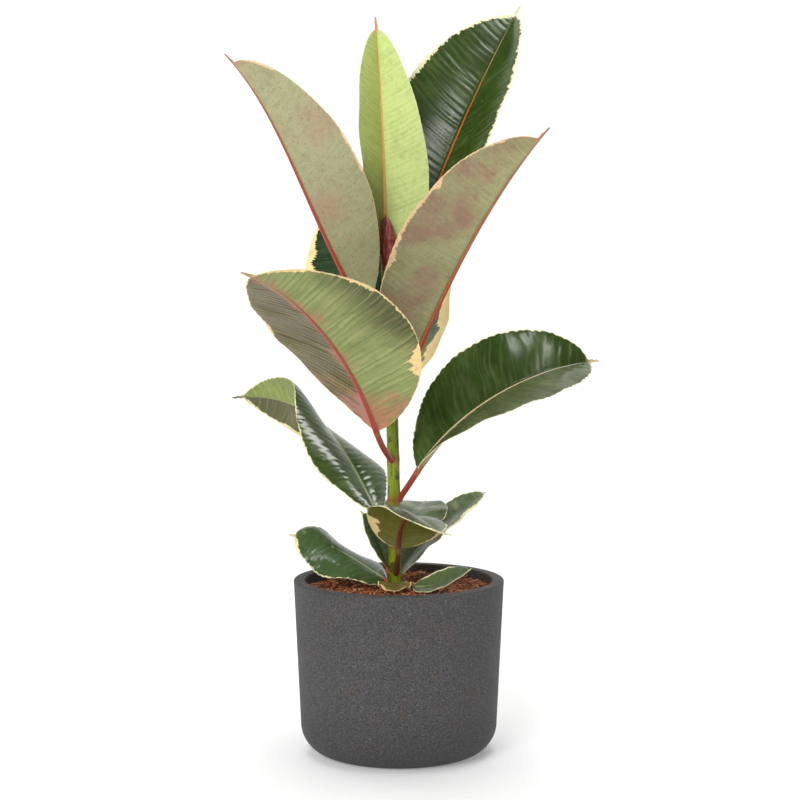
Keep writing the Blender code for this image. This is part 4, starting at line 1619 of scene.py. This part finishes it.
@dataclass
class Coir:
    """The mounded layer of coir fibres on the soil."""

    radius: float = 0.0663
    top: float = 0.1175
    foot: float = 0.1131
    inside: float = 0.0664
    dish: float = 0.0012
    heap: float = 0.0013
    sunk: float = 0.0006
    play: float = 0.0003
    rings: int = 60
    sides: int = 160
    density: float = 150000.0
    dark: Color = shade(120, 62, 34)
    light: Color = shade(218, 138, 90)
    pale: Color = shade(240, 190, 140)
    grime: Color = shade(70, 30, 18)
    gaps: Color = shade(104, 56, 32)

    def height(self, x: np.ndarray, y: np.ndarray) -> np.ndarray:
        """Find the height of the coir's top: low round the stem, in soft heaps outside.

        Args:
            x, y: The places.

        Returns:
            The heights.
        """
        share = np.hypot(x, y) / self.inside
        heaps = np.sin(95 * x + 0.6) * np.cos(110 * y - 0.4) + 0.5 * np.sin(190 * x - 150 * y)
        away = np.clip((share - 0.35) / 0.3, 0, 1)
        return self.top + self.dish * share**2 + self.heap * away * heaps

    def ground(self) -> bpy.types.Mesh:
        """Make the closed disc under the fibres.

        Returns:
            The mesh.
        """
        radii = self.radius * np.linspace(0, 1, self.rings + 1)[1:]
        angles = np.linspace(0, 2 * np.pi, self.sides, endpoint=False)
        x = np.outer(radii, np.cos(angles)).ravel()
        y = np.outer(radii, np.sin(angles)).ravel()
        bumps = 0.0006 * np.sin(x * 900) * np.sin(y * 870 + 1) + 0.0004 * np.sin(x * 1700 + y * 600)
        top = np.stack([x, y, self.height(x, y) + bumps - self.sunk], axis=1)
        rim = top[-self.sides:].copy()
        rim[:, 2] = self.foot
        middle = [[0.0, 0.0, self.top - self.sunk], [0.0, 0.0, self.foot]]
        points = np.vstack([top, rim, middle])
        count = len(top)
        faces = []
        for i in range(self.sides):
            j = (i + 1) % self.sides
            faces.append((count + self.sides, i, j))
            faces.append((count + self.sides + 1, count + j, count + i))
            for r in range(self.rings):
                a, b = r * self.sides, (r + 1) * self.sides
                faces.append((a + i, b + i, b + j, a + j))
        mesh = bpy.data.meshes.new("coir_ground")
        mesh.from_pydata(points.tolist(), [], faces)
        return mesh

    def material(self) -> bpy.types.Material:
        """Make the coir's material: each fibre has its own reddish brown, dark in the gaps.

        Returns:
            The material.
        """
        material, g, place = new_material("coir_fibre")
        tone = g.attribute("tone")
        grain = g.noise(place, 600.0, 2.0)
        color = g.layers(
            self.dark,
            (tone.ramp(0.0, 0.75), self.light),
            (tone.ramp(0.78, 1.0), self.pale),
            (abs(grain - 0.5) * 1.2, self.grime),
            (tone.ramp(-0.2, -0.6), self.gaps),
        )
        g.surface({"Base Color": color, "Roughness": 0.85 + (grain - 0.5) * 0.2})
        return material

    def build(self) -> bpy.types.Object:
        """Grow the fibres on the mound.

        Returns:
            The coir.
        """
        wall = self.radius - self.play
        values = {"Finish": self.material(), "Wall Radius": wall, "Density": self.density}
        return put(grown("coir_form", self.ground(), fibre_tree(), values), "coir_topping")


@dataclass(frozen=True)
class StoneFinish:
    """Charcoal fibre cement: fine speckle, slow clouds, a few brown stains and painted shade towards the
    foot.
    """

    body: Color = shade(68, 67, 68)
    light: Color = shade(142, 141, 140)
    dark: Color = shade(28, 28, 30)
    stain: Color = shade(86, 74, 62)

    def material(self, name: str) -> bpy.types.Material:
        """Make the pot's material.

        Args:
            name: The material's name.

        Returns:
            The material.
        """
        material, g, place = new_material(name)
        spots = g.call(speckle_group(), {"Grain Size": 0.0008})
        color = g.layers(
            self.body,
            (spots["Clouds"].ramp(0.5, 0.7) * 0.35, self.stain),
            (spots["Mottle"].ramp(0.48, 0.66) * 0.75, self.dark),
            (spots["Mottle"].ramp(0.5, 0.34) * 0.2, self.light),
            (spots["Light"] * 0.55, self.light),
            (spots["Dark"] * 0.85, self.dark),
            # Painted shade: darker towards the foot, near the floor.
            (place.part(2).ramp(0.055, 0.004) * 0.3, self.dark),
        )
        rough = 0.72 + (spots["Clouds"] - 0.5) * 0.3
        g.surface({"Base Color": color, "Roughness": rough, "Normal": g.bump(spots["Height"], 0.5, 0.0003)})
        return material


@dataclass
class Pot:
    """The round pot: straight tapered side, rounded foot and a soft lip."""

    height: float = 0.125
    rim: float = 0.075
    foot: float = 0.0692
    wall: float = 0.0083
    floor: float = 0.010
    foot_round: float = 0.022
    inside_round: float = 0.014
    lip: float = 0.0012
    below_lip: float = 0.004
    above_foot: float = 0.002
    steps: int = 160
    side_steps: int = 40
    corner_steps: int = 10
    lip_steps: int = 6
    foot_steps: int = 24
    weld: float = 0.00001

    def outer(self, height: float) -> float:
        """Return the radius of the straight outer side at a height."""
        return self.foot + (self.rim - self.foot) * height / self.height

    def arc(self, center: tuple[float, float], radius: float, start: float, end: float, steps: int) -> list:
        """Return points of an arc.

        Args:
            center: The middle, as radius and height.
            radius: The arc's radius.
            start, end: Angles in degrees.
            steps: How many straight parts it has.

        Returns:
            Points as radius and height.
        """
        angles = np.radians(np.linspace(start, end, steps + 1))
        return [(center[0] + radius * math.cos(a), center[1] + radius * math.sin(a)) for a in angles]

    def profile(self) -> list:
        """Trace the section from the inside's middle over the lip to the base's middle.

        Returns:
            Points as radius and height.
        """
        level = self.floor + self.inside_round
        inside = self.rim - self.wall
        corner = (self.outer(level) - self.wall - self.inside_round, level)
        heel = (self.outer(self.foot_round) - self.foot_round, self.foot_round)
        top = self.height - self.lip
        side = np.linspace(self.height - self.below_lip, self.foot_round + self.above_foot, self.side_steps)
        return [
            (0.0, self.floor),
            *self.arc(corner, self.inside_round, 270, 360, self.corner_steps),
            *self.arc((inside + self.lip, top), self.lip, 180, 90, self.lip_steps),
            *self.arc((self.rim - self.lip, top), self.lip, 90, 0, self.lip_steps),
            *((self.outer(z), z) for z in side),
            *self.arc(heel, self.foot_round, 0, -90, self.foot_steps),
            (0.0, 0.0),
        ]

    def build(self, finish: StoneFinish) -> bpy.types.Object:
        """Turn the pot about its axis.

        Args:
            finish: The pot's surface.

        Returns:
            The pot.
        """
        profile = self.profile()
        mesh = bpy.data.meshes.new("pot_profile")
        edges = [(i, i + 1) for i in range(len(profile) - 1)]
        mesh.from_pydata([(r, 0.0, z) for r, z in profile], edges, [])
        obj = linked("pot_form", mesh)
        screw = obj.modifiers.new("turn", "SCREW")
        screw.steps = screw.render_steps = self.steps
        screw.use_merge_vertices = True
        screw.merge_threshold = self.weld
        hardened(obj)
        wear(obj, finish.material("pot_charcoal"))
        return put(obj, "pot")


def wear(obj: bpy.types.Object, material: bpy.types.Material) -> None:
    """Give an object one material in place of what it had."""
    obj.data.materials.clear()
    obj.data.materials.append(material)


def dress_soil(node: bpy.types.Object) -> None:
    """Give the root ball its crumbly dark finish.

    Args:
        node: The root ball's solid.
    """
    material, g, place = new_material("potting_soil_crumb")
    crumb = g.noise(place, 500.0, 4.0, 0.7)
    color = g.blend(crumb.ramp(0.35, 0.7), shade(30, 20, 14), shade(86, 60, 42))
    rough = 0.9 + (crumb - 0.5) * 0.1
    g.surface({"Base Color": color, "Roughness": rough, "Normal": g.bump(crumb, 0.6, 0.0006)})
    wear(node, material)


@dataclass(frozen=True)
class SoftBox:
    """A soft light: place, aim, width and height in metres, power in watts, and which faces show it."""

    name: str
    place: tuple[float, float, float]
    size: tuple[float, float]
    power: float
    aim: tuple[float, float, float] = (0.0, 0.0, 0.27)
    mirrored: bool = True
    lit: bool = True

    def build(self) -> None:
        """Hang the light, as a highlight on glossy faces if mirrored and as light on matt ones if lit."""
        lamp = bpy.data.lights.new(self.name, "AREA")
        lamp.shape = "RECTANGLE"
        lamp.size, lamp.size_y = self.size
        lamp.energy = self.power
        obj = linked(self.name, lamp)
        obj.location = self.place
        direction = Vector(self.aim) - Vector(self.place)
        obj.rotation_euler = direction.to_track_quat("-Z", "Y").to_euler()
        obj.visible_glossy = self.mirrored
        obj.visible_diffuse = self.lit


LIGHTS = (
    SoftBox("key", (-0.75, -2.1, 1.0), (1.1, 1.1), 37.0, mirrored=False),
    SoftBox("tall_box", (1.02, -1.56, 1.40), (0.2, 0.4), 3.8, lit=False),
    SoftBox("low_box", (1.55, -1.15, 0.90), (0.3, 0.3), 3.0, lit=False),
    SoftBox("side_box", (1.06, 0.28, 1.74), (0.55, 0.5), 12.0, lit=False),
    SoftBox("brow_box", (0.90, -0.45, 1.72), (0.4, 0.4), 6.0, lit=False),
    SoftBox("high_box", (0.42, -0.10, 2.03), (0.35, 0.35), 3.6, lit=False),
    SoftBox("left_box", (-2.0, -0.3, 0.8), (0.7, 0.9), 2.0),
    SoftBox("top", (0.0, -0.1, 2.2), (1.6, 1.6), 20.0, mirrored=False),
    SoftBox("backdrop", (0.0, 0.9, 2.7), (2.6, 1.4), 26.0, (0.0, 2.5, 0.8), mirrored=False),
)


@dataclass
class Studio:
    """A pale floor that sweeps up behind, soft lights and the camera."""

    distance: float = 1.5
    offset: float = 0.00085
    eye: float = 0.3794
    pitch: float = 4.817
    lens: float = 95.5
    sensor: float = 36.0
    front: float = -3.0
    back: float = 1.4
    sweep: float = 1.2
    half_width: float = 5.0
    top: float = 4.5
    lights: tuple[SoftBox, ...] = LIGHTS

    def floor(self) -> None:
        """Lay the pale floor, which rises in a wide curve behind the plant."""
        profile = [(self.front, 0.0), (self.back, 0.0)]
        for angle in np.radians(np.linspace(0, 90, 17)):
            rise = self.sweep - self.sweep * math.cos(angle)
            profile.append((self.back + self.sweep * math.sin(angle), rise))
        profile.append((self.back + self.sweep, self.top))
        points = [(x, y, z) for y, z in profile for x in (-self.half_width, self.half_width)]
        faces = [(2 * i, 2 * i + 1, 2 * i + 3, 2 * i + 2) for i in range(len(profile) - 1)]
        mesh = bpy.data.meshes.new("studio_floor")
        mesh.from_pydata(points, [], faces)
        mesh.shade_smooth()
        sweep = linked("studio_floor", mesh)
        material, g, _ = new_material("studio_white")
        g.surface({
            "Base Color": (0.87, 0.87, 0.87, 1.0), "Roughness": 0.9, "Specular IOR Level": 0.1,
            "Emission Color": (1.0, 1.0, 1.0, 1.0), "Emission Strength": 0.21,
        })
        mesh.materials.append(material)

    def air(self) -> None:
        """Fill the studio with even light, which glossy faces mirror only weakly."""
        world = bpy.data.worlds.new("studio_air")
        world.use_nodes = True
        g = Graph(world.node_tree)
        glossy = g.add("ShaderNodeLightPath", {}, out="Is Glossy Ray")
        background = world.node_tree.nodes["Background"]
        background.inputs["Color"].default_value = (1.0, 1.0, 1.0, 1.0)
        g.feed(background.inputs["Strength"], 0.27 - glossy * 0.18)
        bpy.context.scene.world = world

    def camera(self) -> None:
        """Stand the camera where the photograph was taken from."""
        data = bpy.data.cameras.new("camera")
        data.lens = self.lens
        data.sensor_width = self.sensor
        obj = linked("camera", data)
        obj.location = (self.offset, -self.distance, self.eye)
        obj.rotation_euler = (math.radians(90 - self.pitch), 0.0, 0.0)
        bpy.context.scene.camera = obj

    def build(self) -> None:
        """Set up the whole studio."""
        self.floor()
        for light in self.lights:
            light.build()
        self.air()
        bpy.context.scene.view_settings.view_transform = "Standard"
        self.camera()


def main() -> None:
    """Build every sub-assembly in order."""
    logging.basicConfig(level=logging.INFO, format="%(message)s")
    bars = bar_tree()
    Pot().build(StoneFinish())
    dress_soil(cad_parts["soil"])
    Coir().build()
    Stem().build(bars, BarkFinish())
    BudSheath().build(bars)
    Crown().build()
    Studio().build()


if __name__ == "__main__":
    main()
